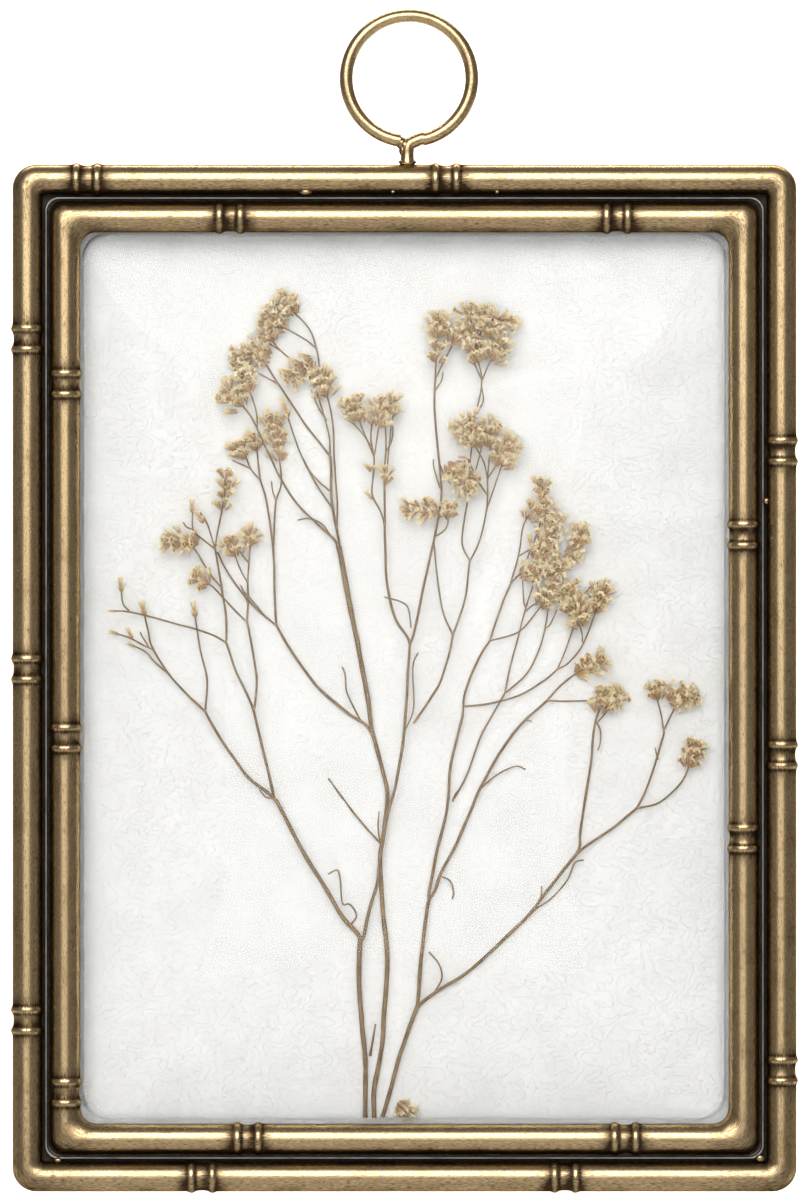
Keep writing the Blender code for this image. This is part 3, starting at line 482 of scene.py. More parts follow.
def sheet_piece(name, front, thickness, cells, relief, seed):
    """Build a flat sheet of the tray's size, with round corners and a faint uneven face."""
    width = SIGHT_WIDTH + 2 * SHEET_REACH
    height = SIGHT_HEIGHT + 2 * SHEET_REACH
    deselect_all()
    bpy.ops.mesh.primitive_grid_add(x_subdivisions=cells, y_subdivisions=int(cells * height / width),
                                    size=1.0)
    sheet = piece_named(name)
    for vertex in sheet.data.vertices:
        x, z = vertex.co.x * width, vertex.co.y * height
        over_x = abs(x) - (width / 2 - SHEET_CORNER)
        over_z = abs(z) - (height / 2 - SHEET_CORNER)
        if over_x > 0 and over_z > 0:
            reach = math.hypot(over_x, over_z)
            pull = max(over_x, over_z) / reach
            x = math.copysign(abs(x) - over_x * (1 - pull), x)
            z = math.copysign(abs(z) - over_z * (1 - pull), z)
        vertex.co = (SIGHT_CENTRE.x + x, front, SIGHT_CENTRE.z + z)
    if relief:
        for vertex in sheet.data.vertices:
            spot = vertex.co * 160 + Vector((seed, seed, seed))
            lift = noise.fractal(spot, 1.0, 2.0, 4) + 0.6 * noise.noise(vertex.co * 45)
            vertex.co.y += relief * max(-0.2, min(1.0, 0.5 + 0.5 * lift))
    turn_outwards()
    if sheet.data.polygons[0].normal.y > 0:
        sheet.data.flip_normals()
    solid = sheet.modifiers.new("Thickness", "SOLIDIFY")
    solid.thickness = thickness
    solid.offset = -1.0
    bpy.ops.object.modifier_apply(modifier=solid.name)
    smooth_shade(sheet, 40)
    return sheet


def feed(socket, value):
    """Link a socket to another one, or set it to a number or a colour."""
    if isinstance(value, bpy.types.NodeSocket):
        socket.id_data.links.new(value, socket)
    elif socket.type == "RGBA":
        socket.default_value = (*value, 1.0)
    else:
        socket.default_value = value


def shaded(colour, *shares):
    """Return a colour with its channels multiplied, by one share or by one each."""
    shares = shares if len(shares) == 3 else shares * 3
    return tuple(min(1.0, channel * share) for channel, share in zip(colour, shares))


def fresh_material(name, roughness, metallic=0.0):
    """Return a new material and its shader."""
    material = bpy.data.materials.new(name)
    material.use_nodes = True
    shader = material.node_tree.nodes["Principled BSDF"]
    shader.inputs["Roughness"].default_value = roughness
    shader.inputs["Metallic"].default_value = metallic
    return material, shader


def add_node(owner, kind, **values):
    """Add a node beside a node or socket. A value names a property of it or one of its inputs."""
    node = owner.id_data.nodes.new(kind)
    for key, value in values.items():
        if key in node.inputs:
            node.inputs[key].default_value = value
        else:
            setattr(node, key, value)
    return node


def coordinates(shader, source, scale, shift=(0.0, 0.0, 0.0)):
    """Return scaled coordinates of a material: Object or UV."""
    places = add_node(shader, "ShaderNodeTexCoord")
    mapping = add_node(shader, "ShaderNodeMapping")
    mapping.inputs["Scale"].default_value = scale
    mapping.inputs["Location"].default_value = shift
    feed(mapping.inputs["Vector"], places.outputs[source])
    return mapping.outputs["Vector"]


def noise_value(shader, source, scale, detail=4.0, shift=(0.0, 0.0, 0.0)):
    """Return the value of a noise texture whose size on each axis is one over its scale."""
    scale = (scale,) * 3 if isinstance(scale, float) else scale
    texture = add_node(shader, "ShaderNodeTexNoise", Scale=1.0, Detail=detail)
    feed(texture.inputs["Vector"], coordinates(shader, source, scale, shift))
    return texture.outputs["Fac"]


def ramp(value, stops):
    """Return a colour ramp of a value. A stop is its place and its colour."""
    node = add_node(value, "ShaderNodeValToRGB")
    elements = node.color_ramp.elements
    while len(elements) < len(stops):
        elements.new(0.5)
    for element, (place, colour) in zip(elements, stops):
        element.position = place
        element.color = (*colour, 1.0)
    feed(node.inputs["Fac"], value)
    return node.outputs["Color"]


def level(value, low, high, to_low=0.0, to_high=1.0):
    """Return a value stretched from one range to another and kept inside it."""
    node = add_node(value, "ShaderNodeMapRange")
    for key, given in zip(("Value", "From Min", "From Max", "To Min", "To Max"),
                          (value, low, high, to_low, to_high)):
        feed(node.inputs[key], given)
    return node.outputs["Result"]


def blend(factor, first, second):
    """Return one colour mixed with another. One of the three at least is a socket."""
    given = (factor, first, second)
    owner = next(value for value in given if isinstance(value, bpy.types.NodeSocket))
    node = add_node(owner, "ShaderNodeMix", data_type="RGBA", blend_type="MIX")
    share = next(socket for socket in node.inputs if socket.type == "VALUE")
    colours = [socket for socket in node.inputs if socket.type == "RGBA"]
    for socket, value in zip([share] + colours, given):
        feed(socket, value)
    return next(socket for socket in node.outputs if socket.type == "RGBA")


def combine(operation, first, second):
    """Return the result of a sum on a socket and a second socket or number."""
    node = add_node(first, "ShaderNodeMath", operation=operation)
    feed(node.inputs[0], first)
    feed(node.inputs[1], second)
    return node.outputs["Value"]


def raise_surface(shader, value, distance, strength):
    """Give a material fine relief from a value."""
    bump = add_node(shader, "ShaderNodeBump", Strength=strength, Distance=distance)
    feed(bump.inputs["Height"], value)
    feed(shader.inputs["Normal"], bump.outputs["Normal"])


def stored(shader, name):
    """Return the number that a piece stores for each vertex under a name."""
    return add_node(shader, "ShaderNodeAttribute", attribute_name=name).outputs["Fac"]


def aged_brass(name, colour, along_map):
    """Return worn antique brass: fine brushed grain, cloudy tarnish, and dark patina with the painted shade
    that each piece stores with it.
    """
    material, shader = fresh_material(name, 0.3, 1.0)
    shader.inputs["Specular Tint"].default_value = (0.4, 0.33, 0.25, 1.0)
    if along_map:
        grain = noise_value(shader, "UV", (900.0, 4200.0, 1.0), 5.0)
        streaks = noise_value(shader, "UV", (95.0, 2300.0, 1.0), 3.0, (3.0, 7.0, 0.0))
        clouds = noise_value(shader, "UV", (150.0, 300.0, 1.0), 5.0, (11.0, 2.0, 0.0))
    else:
        grain = noise_value(shader, "Object", 3400.0)
        streaks = noise_value(shader, "Object", 1200.0, 3.0)
        clouds = noise_value(shader, "Object", 330.0)
    tarnished = shaded(colour, 0.46, 0.4, 0.3)
    metal = blend(level(streaks, 0.34, 0.66, 0.3, 0.0), colour, tarnished)
    metal = blend(level(clouds, 0.52, 0.72, 0.0, 0.6), metal, tarnished)
    metal = blend(level(grain, 0.52, 0.7, 0.0, 0.6), metal, shaded(colour, 1.22, 1.3, 1.5))
    metal = blend(level(grain, 0.46, 0.34, 0.0, 0.6), metal, (0.09, 0.06, 0.03))
    # The stored values hold the patina and the painted shade on the backs, edges, grooves and undersides;
    # they darken the base colour.
    stain = stored(shader, "patina_and_shade")
    worn_off = level(combine("ADD", grain, clouds), 0.75, 1.25, 0.24, -0.24)
    worn_off = combine("MULTIPLY", worn_off, level(stain, 0.0, 0.3, 0.3, 1.0))
    patina_and_shade = level(combine("ADD", stain, worn_off), 0.04, 0.92)
    feed(shader.inputs["Base Color"], blend(patina_and_shade, metal, (0.05, 0.03, 0.015)))
    rough = combine("ADD", level(grain, 0.35, 0.65, 0.3, 0.22), combine("MULTIPLY", patina_and_shade, 0.22))
    feed(shader.inputs["Roughness"], rough)
    raise_surface(shader, combine("ADD", grain, combine("MULTIPLY", clouds, 0.8)), 0.014 * MM, 0.38)
    return material


def dark_brass(name, dark, grey):
    """Return patinated sheet brass whose raised edge is dull silver grey."""
    material, shader = fresh_material(name, 0.5, 0.75)
    grain = noise_value(shader, "Object", 1500.0, 5.0)
    clouds = noise_value(shader, "Object", 260.0)
    sheet = blend(level(grain, 0.35, 0.7), dark, shaded(dark, 2.1))
    edge = blend(level(clouds, 0.42, 0.68, 0.0, 0.75), grey, shaded(grey, 0.42))
    feed(shader.inputs["Base Color"], blend(level(stored(shader, "lip"), 0.1, 0.9), sheet, edge))
    feed(shader.inputs["Roughness"], level(grain, 0.3, 0.7, 0.42, 0.62))
    raise_surface(shader, grain, 0.03 * MM, 0.5)
    return material


def clear_glass(name):
    """Return clear glass."""
    material, shader = fresh_material(name, 0.0)
    shader.inputs["Base Color"].default_value = (1.0, 1.0, 1.0, 1.0)
    shader.inputs["Transmission Weight"].default_value = 1.0
    shader.inputs["IOR"].default_value = 1.45
    shader.inputs["Specular Tint"].default_value = (0.13, 0.13, 0.13, 1.0)
    return material


def rag_paper(name, colour):
    """Return off white handmade paper: cloudy pulp, pressed-in fibres and a few flecks."""
    material, shader = fresh_material(name, 0.92)
    clouds = noise_value(shader, "Object", (110.0, 1.0, 110.0), 5.0)
    pulp = noise_value(shader, "Object", (900.0, 1.0, 900.0), 6.0)
    fibres = add_node(shader, "ShaderNodeTexWave", Scale=1.0, Distortion=26.0, Detail=3.0)
    fibres.inputs["Detail Scale"].default_value = 1.4
    feed(fibres.inputs["Vector"], coordinates(shader, "Object", (95.0, 1.0, 190.0)))
    threads = level(fibres.outputs["Fac"], 0.0, 0.045, 1.0, 0.0)
    sheet = blend(level(clouds, 0.35, 0.7), colour, shaded(colour, 0.93, 0.928, 0.92))
    sheet = blend(combine("MULTIPLY", threads, 0.25), sheet, shaded(colour, 0.86))
    feed(shader.inputs["Base Color"], sheet)
    fine = combine("ADD", combine("MULTIPLY", pulp, 0.5), combine("MULTIPLY", threads, 0.12))
    raise_surface(shader, combine("ADD", combine("MULTIPLY", clouds, 1.2), fine), 0.6 * MM, 0.9)
    return material


def grey_board(name, colour):
    """Return plain grey brown board with flecks of fibre."""
    material, shader = fresh_material(name, 0.88)
    pulp = noise_value(shader, "Object", (1200.0, 1200.0, 420.0), 6.0)
    clouds = noise_value(shader, "Object", 60.0)
    sheet = blend(level(pulp, 0.35, 0.7), shaded(colour, 0.8), shaded(colour, 1.12))
    sheet = blend(level(clouds, 0.4, 0.75, 0.0, 0.35), sheet, shaded(colour, 0.7))
    feed(shader.inputs["Base Color"], sheet)
    raise_surface(shader, pulp, 0.15 * MM, 0.7)
    return material


# Plants: a strand is one run of stem, with its route on the drawing grid. Its two widths and
# two heights are at its first and last point, in millimetres, and heights are over the paper.
# A strand reaches its last height at the point that settle counts, or at its end.
Strand = namedtuple("Strand", "route width height settle")
THIN = (0.3, 0.28)
TWIG_WIDTH = (0.3, 0.24)

# A bloom is a ragged head or a bud: its middle and size on the drawing grid, and the height of
# its middle over the paper and its thickness, in millimetres.
Bloom = namedtuple("Bloom", "place size height thickness")

# A branch by node: where it springs from, as column, row and height, then rows for its strands
# (a route of columns and rows by turns, widths, heights, settle), for its blooms (column, row,
# width, height, height over the paper, thickness) and for its fine twigs (route, heights).
Plant = namedtuple("Plant", "node spring strands blooms twigs", defaults=(None, (), (), ()))
PLANTS = (
    Plant("stem_a_foot", strands=(
        ((365, 1120, 365, 1060, 362, 1027, 359, 988, 359, 962, 360, 941), (0.85, 0.9), (0.65, 0.9)),
    )),
    Plant("stem_a_left", spring=(360, 943, 0.9), strands=(
        ((357.5, 935, 341, 916, 323, 885, 306, 858, 291, 830, 275.5, 800), (0.8, 0.7), (0.9, 1.9)),
        ((350, 926, 356, 919, 355, 912, 349, 905, 342, 904, 340, 880, 337, 871, 328, 875), (0.35, 0.3),
         (1.0, 1.6)),
    )),
    Plant("stem_a_left_low", spring=(275, 800, 1.9), strands=(
        ((268, 793.5, 249, 779, 234, 759, 219, 737, 205, 712), (0.6, 0.45), (1.9, 1.5)),
        ((205, 712, 186, 694, 169, 675, 152, 648, 148, 631, 143, 609), (0.42, 0.3), (1.5, 1.2)),
        ((153, 650, 142, 645, 129, 638, 114, 633), THIN, (1.2, 1.2)),
        ((168, 674, 154, 662, 145, 652, 131, 645), THIN, (1.3, 1.2)),
        ((205, 712, 206.7, 680, 200, 650, 194, 610), (0.38, 0.3), (1.5, 1.2)),
    ), blooms=(
        (143, 609, 8, 14, 1.2, 1.0), (194, 610, 8, 14, 1.2, 1.0), (114, 633, 9, 8, 1.2, 0.9),
        (130, 634, 7, 11, 1.2, 0.9), (131, 645, 8, 6, 1.2, 0.8),
    ), twigs=(
        ((149, 648, 142, 637, 140, 632), (1.2, 1.2)),
    )),
    Plant("stem_a_left_tall", spring=(275, 800, 1.9), strands=(
        ((273.5, 795.5, 262, 747, 253.5, 711), (0.6, 0.5), (2.0, 2.3)),
        ((253.5, 711, 246, 693, 235, 670, 226, 643), (0.45, 0.4), (2.3, 2.4)),
        ((226, 643, 210, 634, 180, 625, 135, 613, 114, 611), (0.36, 0.3), (2.4, 2.4)),
        ((130, 612, 123, 603, 121, 585), THIN, (2.4, 2.4)),
        ((226, 643, 226, 618, 221, 585, 215, 549), (0.4, 0.36), (2.4, 2.4)),
        ((215, 549, 217, 535, 224, 497, 225, 478), (0.34, 0.3), (2.4, 2.4)),
        ((215, 549, 208, 526, 200, 512), THIN, (2.4, 2.4)),
        ((215, 549, 200, 537, 193, 529, 192.5, 508), THIN, (2.4, 2.4)),
        ((221.5, 588, 210, 574, 190, 544, 171, 541), THIN, (2.4, 2.4)),
        ((253.5, 711, 256.5, 686, 255, 666, 247, 622), (0.45, 0.4), (2.3, 2.4)),
        ((247, 622, 235, 611, 215, 589, 202, 580), (0.36, 0.3), (2.4, 2.4)),
        ((247, 622, 248, 600, 247.5, 583, 251, 537), (0.36, 0.3), (2.4, 2.4)),
        ((247.5, 583, 241, 571, 231, 546), THIN, (2.4, 2.4)),
    ), blooms=(
        (112, 611, 7, 6, 2.4, 0.8), (121, 585, 9, 13, 2.4, 1.0), (224, 497, 15, 26, 2.5, 2.2),
        (225, 477, 14, 25, 2.5, 2.0), (200, 517, 6, 13, 2.4, 0.8), (192, 506, 8, 12, 2.4, 0.9),
        (170, 541, 25, 16, 2.4, 2.2), (190, 542, 16, 18, 2.4, 2.2), (199, 577, 20, 16, 2.4, 2.2),
        (231, 545, 20, 21, 2.5, 2.4), (251, 536, 21, 23, 2.5, 2.4),
    ), twigs=(
        ((272, 799, 265, 797, 259, 790), (1.95, 2.0)), ((247.5, 603, 243, 591, 240, 585), (2.4, 2.4)),
        ((193, 529, 187, 527, 183, 522), (2.4, 2.4)), ((249, 563, 241, 553, 238, 548), (2.4, 2.4)),
    )),
    Plant("stem_a_right", spring=(360, 943, 0.9), strands=(
        ((363.5, 937, 367, 921, 372, 902, 377, 885, 380, 860, 387, 818, 395, 788, 403, 744, 406, 710, 408.5,
         667, 410, 643), (0.75, 0.5), (0.9, 2.2), 3),
        ((405, 731, 412, 716, 414, 702, 413, 667, 418, 653), THIN, (2.2, 2.2)),
    )),
    Plant("stem_a_crown_left", spring=(410, 644, 2.2), strands=(
        ((406.5, 636, 395, 618, 387, 583, 385, 543, 384.5, 500, 384, 468), (0.5, 0.4), (2.2, 2.2)),
        ((384, 470, 386, 450, 385, 415), (0.36, 0.3), (2.2, 2.4)),
        ((386, 452, 392, 438, 393, 415), THIN, (2.2, 2.4)),
        ((384.5, 525, 380, 510, 372, 493, 374, 470, 374, 455), (0.34, 0.3), (2.2, 2.2)),
        ((374, 457, 368, 442, 357, 415), THIN, (2.2, 2.4)),
        ((374, 457, 371, 440, 372, 425, 376, 412), THIN, (2.2, 2.4)),
        ((384, 597, 401, 602, 408.5, 609, 411, 628), THIN, (2.2, 2.2)),
    ), blooms=(
        (354, 408, 27, 25, 2.6, 3.0), (380, 413, 20, 24, 2.6, 3.0), (391, 402, 20, 26, 2.7, 3.0),
        (370, 467, 20, 10, 2.3, 1.6), (387, 475, 9, 20, 2.3, 1.6), (369, 495, 10, 9, 2.2, 1.2),
    ), twigs=(
        ((384.3, 490, 388, 458, 391, 425), (2.2, 2.4)), ((374, 456, 376, 444, 379, 425), (2.2, 2.4)),
        ((371.5, 448, 365, 436, 350, 420), (2.2, 2.4)), ((381, 512, 374, 500, 369, 495), (2.2, 2.2)),
    )),
    Plant("stem_a_crown", spring=(410, 644, 2.2), strands=(
        ((413, 636, 418, 615, 426.5, 573, 434, 540, 441, 500, 440, 469, 434.7, 409, 437, 349, 439, 325),
         (0.5, 0.34), (2.2, 2.6)),
        ((435.8, 378, 446, 357, 457, 336), THIN, (2.4, 2.5)),
        ((434.6, 537, 447, 527, 448, 509), THIN, (2.35, 2.6)),
        ((438.5, 514, 428, 510, 409, 509), THIN, (2.4, 2.6)),
        ((413.5, 724, 432, 697, 441, 680, 450, 652, 453, 635), (0.45, 0.4), (2.2, 2.2)),
        ((453, 635, 443, 612, 437, 573, 434, 542), (0.34, 0.3), (2.2, 2.2)),
        ((453, 635, 465, 600, 470, 561), (0.38, 0.34), (2.2, 2.2)),
        ((470, 561, 462, 541, 468.5, 495, 470, 462, 476, 415, 482, 380, 477, 350, 488, 320, 509, 322),
         (0.32, 0.28), (2.2, 2.7)),
        ((481.5, 382, 490, 362, 499, 349), THIN, (2.6, 2.7)),
        ((477, 350, 470, 318), THIN, (2.65, 2.7)),
        ((470, 561, 480, 540, 487, 507, 488, 475, 491, 440), (0.32, 0.28), (2.2, 2.5)),
        ((488, 478, 497, 464, 507, 450), THIN, (2.2, 2.5)),
    ), blooms=(
        (439, 324, 24, 27, 2.8, 3.0), (437, 349, 21, 24, 2.8, 3.0), (457, 336, 18, 13, 2.5, 2.0),
        (409, 509, 22, 19, 2.6, 2.6), (428, 510, 24, 22, 2.8, 3.0), (448, 509, 22, 20, 2.8, 3.0),
        (470, 317, 21, 36, 2.8, 3.2), (488, 320, 24, 40, 3.0, 3.4), (509, 322, 24, 18, 2.8, 2.6),
        (476, 350, 26, 22, 2.8, 3.0), (499, 349, 24, 20, 2.8, 3.0), (470, 430, 25, 36, 2.8, 3.4),
        (489, 431, 23, 36, 2.9, 3.4), (507, 450, 23, 34, 2.8, 3.2), (463, 479, 25, 42, 2.8, 3.4),
    ), twigs=(
        ((440, 488, 434, 468, 433.5, 459), (2.4, 2.4)), ((439.5, 462, 445, 477, 451, 484), (2.4, 2.4)),
        ((435, 391, 441.6, 380, 443, 372), (2.45, 2.5)), ((476, 414, 483, 401, 481.5, 385), (2.5, 2.6)),
        ((481.5, 379, 475, 364, 468, 340), (2.6, 2.7)), ((469, 490, 476, 470, 482, 445), (2.3, 2.6)),
        ((487.5, 495, 478, 480, 466, 455), (2.3, 2.6)), ((488, 480, 484, 462, 476, 447), (2.3, 2.6)),
        ((487.5, 507, 497, 480, 503, 462), (2.3, 2.5)),
    )),
    Plant("stem_b_foot", strands=(
        ((374, 1120, 374, 1090, 382, 1046, 384, 1014, 387.5, 962, 383.5, 919, 380, 862, 383, 838, 387.5,
         800, 383, 773, 373.5, 737), (0.85, 0.75), (0.65, 0.8)),
        ((382, 846, 365, 827, 350, 809, 328, 779), (0.36, 0.3), (0.8, 0.8)),
    ), twigs=(
        ((380.5, 846, 378, 828, 379, 812), (0.8, 0.9)),
    )),
    Plant("stem_b_left", spring=(373.5, 738, 0.85), strands=(
        ((365.5, 725, 350, 715, 321, 691, 310, 678, 290, 650, 276, 625), (0.55, 0.45), (0.9, 0.8)),
        ((361, 722, 350, 700, 346, 690, 345, 675, 342, 667), THIN, (0.9, 0.9)),
        ((276, 625, 274, 591, 273, 552, 266, 501, 260, 478, 256, 442), (0.42, 0.32), (0.8, 1.1)),
        ((260.5, 480, 251, 469, 244, 452), THIN, (1.0, 1.1)),
        ((273, 550, 275, 504, 281, 481, 277, 447, 273, 427), (0.34, 0.3), (0.8, 1.1)),
        ((276, 625, 267, 618, 246, 598, 226, 570, 217, 552), (0.34, 0.3), (0.8, 0.8)),
    ), blooms=(
        (255, 441, 15, 18, 1.2, 1.6), (239, 447, 20, 21, 1.2, 1.6), (273, 425, 22, 32, 1.2, 1.6),
        (277, 447, 14, 26, 1.2, 1.5),
    ), twigs=(
        ((250, 468, 241, 464, 232, 460), (1.05, 1.1)), ((275.5, 500, 272, 490, 271, 481), (1.0, 1.1)),
        ((266, 618, 256, 605, 243, 591), (0.8, 0.8)),
    )),
    Plant("stem_b_middle", spring=(373.5, 738, 0.8), strands=(
        ((371.5, 729, 369.5, 714, 366.5, 693, 355, 631, 350, 607, 341, 558, 338.3, 546), (0.75, 1.0), (0.9,
         0.9)),
    ), twigs=(
        ((356, 636, 348.5, 607, 343, 582, 340.5, 556), (1.1, 1.1)),
    )),
    Plant("stem_b_crown_left", spring=(338.3, 548, 0.9), strands=(
        ((333.5, 539, 315, 522, 299, 506, 282, 481, 264, 444, 250, 415, 232, 396), (0.5, 0.32), (0.9, 2.6),
         3),
        ((257, 430, 256, 411, 247, 383), THIN, (2.6, 3.2)),
    ), blooms=(
        (230, 394, 36, 17, 2.7, 2.0), (246, 379, 13, 28, 3.3, 1.5),
    ), twigs=(
        ((331, 537, 322, 524, 309, 518.5, 297, 520), (0.95, 1.2)),
    )),
    Plant("stem_b_crown", spring=(338.3, 548, 0.9), strands=(
        ((338.5, 540, 332, 505, 331, 470, 330, 456), (0.5, 0.45), (0.9, 1.1)),
        ((330, 456, 312, 433, 295, 409, 275, 379, 257, 354, 239, 358), (0.38, 0.3), (1.1, 1.3)),
        ((330, 456, 328, 431, 318, 396, 304, 367, 292, 376), (0.32, 0.28), (1.1, 1.6)),
        ((336.5, 528, 337, 499, 334, 458, 332, 417, 323, 381), (0.34, 0.3), (1.0, 1.6)),
        ((332, 508, 313, 478, 300, 453, 285, 409), (0.32, 0.28), (1.0, 1.4)),
        ((321, 376, 317, 352, 309, 329, 286, 304), (0.32, 0.28), (1.6, 1.7)),
        ((316, 348, 305, 339, 272, 321), THIN, (1.6, 1.7)),
        ((303, 368, 281, 351, 268, 335), THIN, (1.6, 1.5)),
    ), blooms=(
        (285, 303, 26, 23, 1.8, 2.6), (271, 320, 33, 17, 1.8, 2.4), (268, 334, 14, 13, 1.5, 1.6),
        (257, 352, 23, 27, 1.3, 1.8), (238, 358, 21, 26, 1.3, 1.8), (285, 408, 10, 18, 1.4, 1.3),
        (292, 376, 24, 15, 1.6, 2.0), (304, 366, 19, 17, 1.7, 2.4), (322, 380, 23, 34, 1.8, 2.6),
    ), twigs=(
        ((331.5, 492, 318, 480, 309, 470, 303, 458), (1.05, 1.1)),
        ((327, 420, 319, 408, 311, 390), (1.3, 1.5)), ((277, 383, 266, 377, 253, 370), (1.2, 1.3)),
        ((281, 351, 272, 345, 264, 342), (1.5, 1.5)),
    )),
    Plant("stem_c_foot", strands=(
        ((381, 1120, 386, 1106, 401, 1053, 417.5, 1007), (0.75, 0.75), (0.65, 0.8)),
    )),
    Plant("stem_c_middle", spring=(417.5, 1009, 0.8), strands=(
        ((418.5, 1001, 421, 962, 427, 911, 429.5, 899), (0.7, 0.65), (0.85, 0.85)),
    )),
    Plant("stem_c_left", spring=(429.5, 900, 0.85), strands=(
        ((429.3, 893, 437, 852, 447.5, 808, 451, 765, 463, 716), (0.62, 0.5), (0.85, 0.95)),
    )),
    Plant("stem_c_right", spring=(429.5, 900, 0.85), strands=(
        ((435, 891.5, 441.5, 873, 458, 842, 480.5, 789, 501, 752, 523, 723, 547.5, 701), (0.6, 0.45), (0.9,
         1.0)),
        ((547.5, 701, 568, 701.5, 588, 701), (0.32, 0.28), (1.0, 1.0)),
        ((547.5, 701, 562, 685, 580, 671, 594, 664), (0.36, 0.3), (1.0, 1.2)),
        ((480, 790, 496, 776, 515, 767, 526, 770), THIN, (1.0, 1.0)),
        ((440, 877, 450.5, 882, 454, 893, 452.5, 900), THIN, (0.9, 0.9)),
    ), blooms=(
        (583, 670, 13, 16, 1.3, 1.6), (598, 662, 20, 21, 1.4, 2.0),
    ), twigs=(
        ((522, 724, 527, 721, 532, 721.5), (0.95, 0.95)),
    )),
    Plant("stem_c_crown", spring=(463, 718, 0.95), strands=(
        ((463.3, 709, 465.5, 692, 479, 659, 490, 641), (0.45, 0.4), (0.95, 1.2)),
        ((490, 641, 502.5, 604, 510.5, 585), (0.38, 0.34), (1.2, 1.4)),
        ((510.5, 585, 520, 551, 523, 527, 532, 510), (0.32, 0.28), (1.4, 1.8)),
        ((510.5, 585, 517, 577, 528, 570), THIN, (1.4, 1.6)),
        ((518, 557, 530, 550, 542, 547, 553, 524), THIN, (1.5, 2.0)),
        ((490, 641, 518.6, 632, 539.5, 608.6, 549, 596), THIN, (1.2, 1.8)),
        ((527.5, 559, 538, 531, 544, 506, 542, 486), THIN, (1.6, 1.9)),
        ((463.5, 707, 490, 704, 518.6, 696, 543, 682, 557, 670), (0.36, 0.34), (0.95, 1.2)),
        ((557, 670, 570, 662, 585, 641, 601, 597), (0.32, 0.28), (1.2, 1.8)),
        ((558, 669, 567, 647, 577, 613, 570, 595), THIN, (1.2, 1.8)),
        ((452.5, 802.5, 467, 776, 480.5, 738, 505, 694), (0.36, 0.34), (0.95, 1.0)),
        ((505, 694, 512, 661, 526.6, 607, 535, 580), (0.32, 0.28), (1.0, 1.7)),
        ((505, 694, 530, 670, 545, 631, 550, 595, 556, 568, 574, 553, 580, 535), (0.32, 0.28), (1.0, 1.9)),
    ), blooms=(
        (533, 509, 15, 21, 2.0, 2.4), (542, 485, 18, 22, 2.0, 2.4), (545, 505, 16, 22, 2.0, 2.4),
        (553, 523, 26, 26, 2.1, 3.0), (543, 548, 18, 26, 2.0, 2.8), (556, 567, 22, 26, 2.1, 3.0),
        (533, 571, 24, 18, 2.0, 2.6), (550, 594, 23, 29, 2.1, 3.0), (569, 594, 24, 27, 2.1, 3.0),
        (577, 612, 34, 24, 2.0, 2.8), (601, 595, 22, 33, 2.0, 2.8), (574, 553, 20, 17, 2.0, 2.4),
        (580, 534, 17, 24, 2.0, 2.4),
    ), twigs=(
        ((453, 801, 456, 794, 460, 790), (0.95, 1.0)), ((526.5, 609, 524, 600, 523, 580), (1.5, 1.6)),
        ((535, 582, 543, 577, 549, 571), (1.7, 1.8)), ((525, 613, 531, 607, 538, 603), (1.5, 1.6)),
        ((583, 643, 582, 632, 576, 616), (1.4, 1.7)), ((546, 628, 551, 624, 557, 610), (1.3, 1.6)),
        ((577, 606, 590, 588, 604, 580), (1.8, 1.9)), ((556, 570, 562, 568, 572, 567), (1.7, 1.8)),
    )),
    Plant("stem_d_foot", spring=(417.5, 1009, 0.8), strands=(
        ((424.5, 1001.5, 441, 990, 472, 970, 514, 931, 533, 912, 545, 895, 578, 853.5), (0.62, 0.55), (0.85,
         1.0)),
        ((534, 911, 550, 901, 567.6, 881, 575, 864, 584, 861), THIN, (0.95, 1.0)),
        ((434, 995, 441, 983, 442, 974, 438, 963, 429, 953), THIN, (0.9, 0.9)),
    ), twigs=(
        ((541, 901, 542, 893, 542, 887), (0.95, 0.95)),
    )),
    Plant("stem_d_up", spring=(577, 855, 1.0), strands=(
        ((580.5, 846, 581, 828, 591, 765, 592.5, 744, 595.4, 724, 602, 704), (0.5, 0.36), (1.0, 1.3)),
        ((595, 726, 607, 712, 614, 702), THIN, (1.2, 1.4)),
    ), blooms=(
        (602, 700, 17, 25, 1.6, 2.2), (614, 699, 18, 25, 1.6, 2.2),
    ), twigs=(
        ((596.5, 722, 600.5, 731, 600.5, 743, 598, 751), (1.2, 1.2)),
    )),
    Plant("stem_d_right", spring=(577, 855, 1.0), strands=(
        ((585, 848, 613, 829, 637, 809), (0.5, 0.45), (1.0, 1.1)),
        ((637, 809, 649, 784, 663, 739, 664, 731), (0.38, 0.34), (1.1, 1.2)),
        ((664, 731, 661.6, 716, 656, 694), THIN, (1.2, 1.3)),
        ((664, 731, 673, 712, 679, 699, 690, 696), THIN, (1.2, 1.4)),
        ((637, 809, 660, 803, 683, 781, 692, 757), (0.36, 0.3), (1.1, 1.2)),
    ), blooms=(
        (656, 690, 13, 21, 1.4, 1.8), (679, 697, 19, 29, 1.4, 1.9), (690, 696, 16, 27, 1.4, 1.8),
        (693, 752, 14, 32, 1.3, 1.7),
    ), twigs=(
        ((658.5, 760, 657, 755, 655.5, 748), (1.15, 1.15)),
    )),
    Plant("loose_leaf", strands=(
        ((370, 1057, 372, 1046, 375.5, 1025), (0.5, 0.3), (0.7, 0.7)),
    )),
    Plant("fallen_floret", strands=(
        ((398, 1104, 403, 1110, 409, 1117), (0.4, 0.3), (0.8, 0.8)),
    ), blooms=(
        (404, 1111, 14, 15, 0.85, 1.0),
    )),
)

# A bloom this small is a bud: the most that its longer and its shorter side may be
BUD_LIMITS = (18, 11)

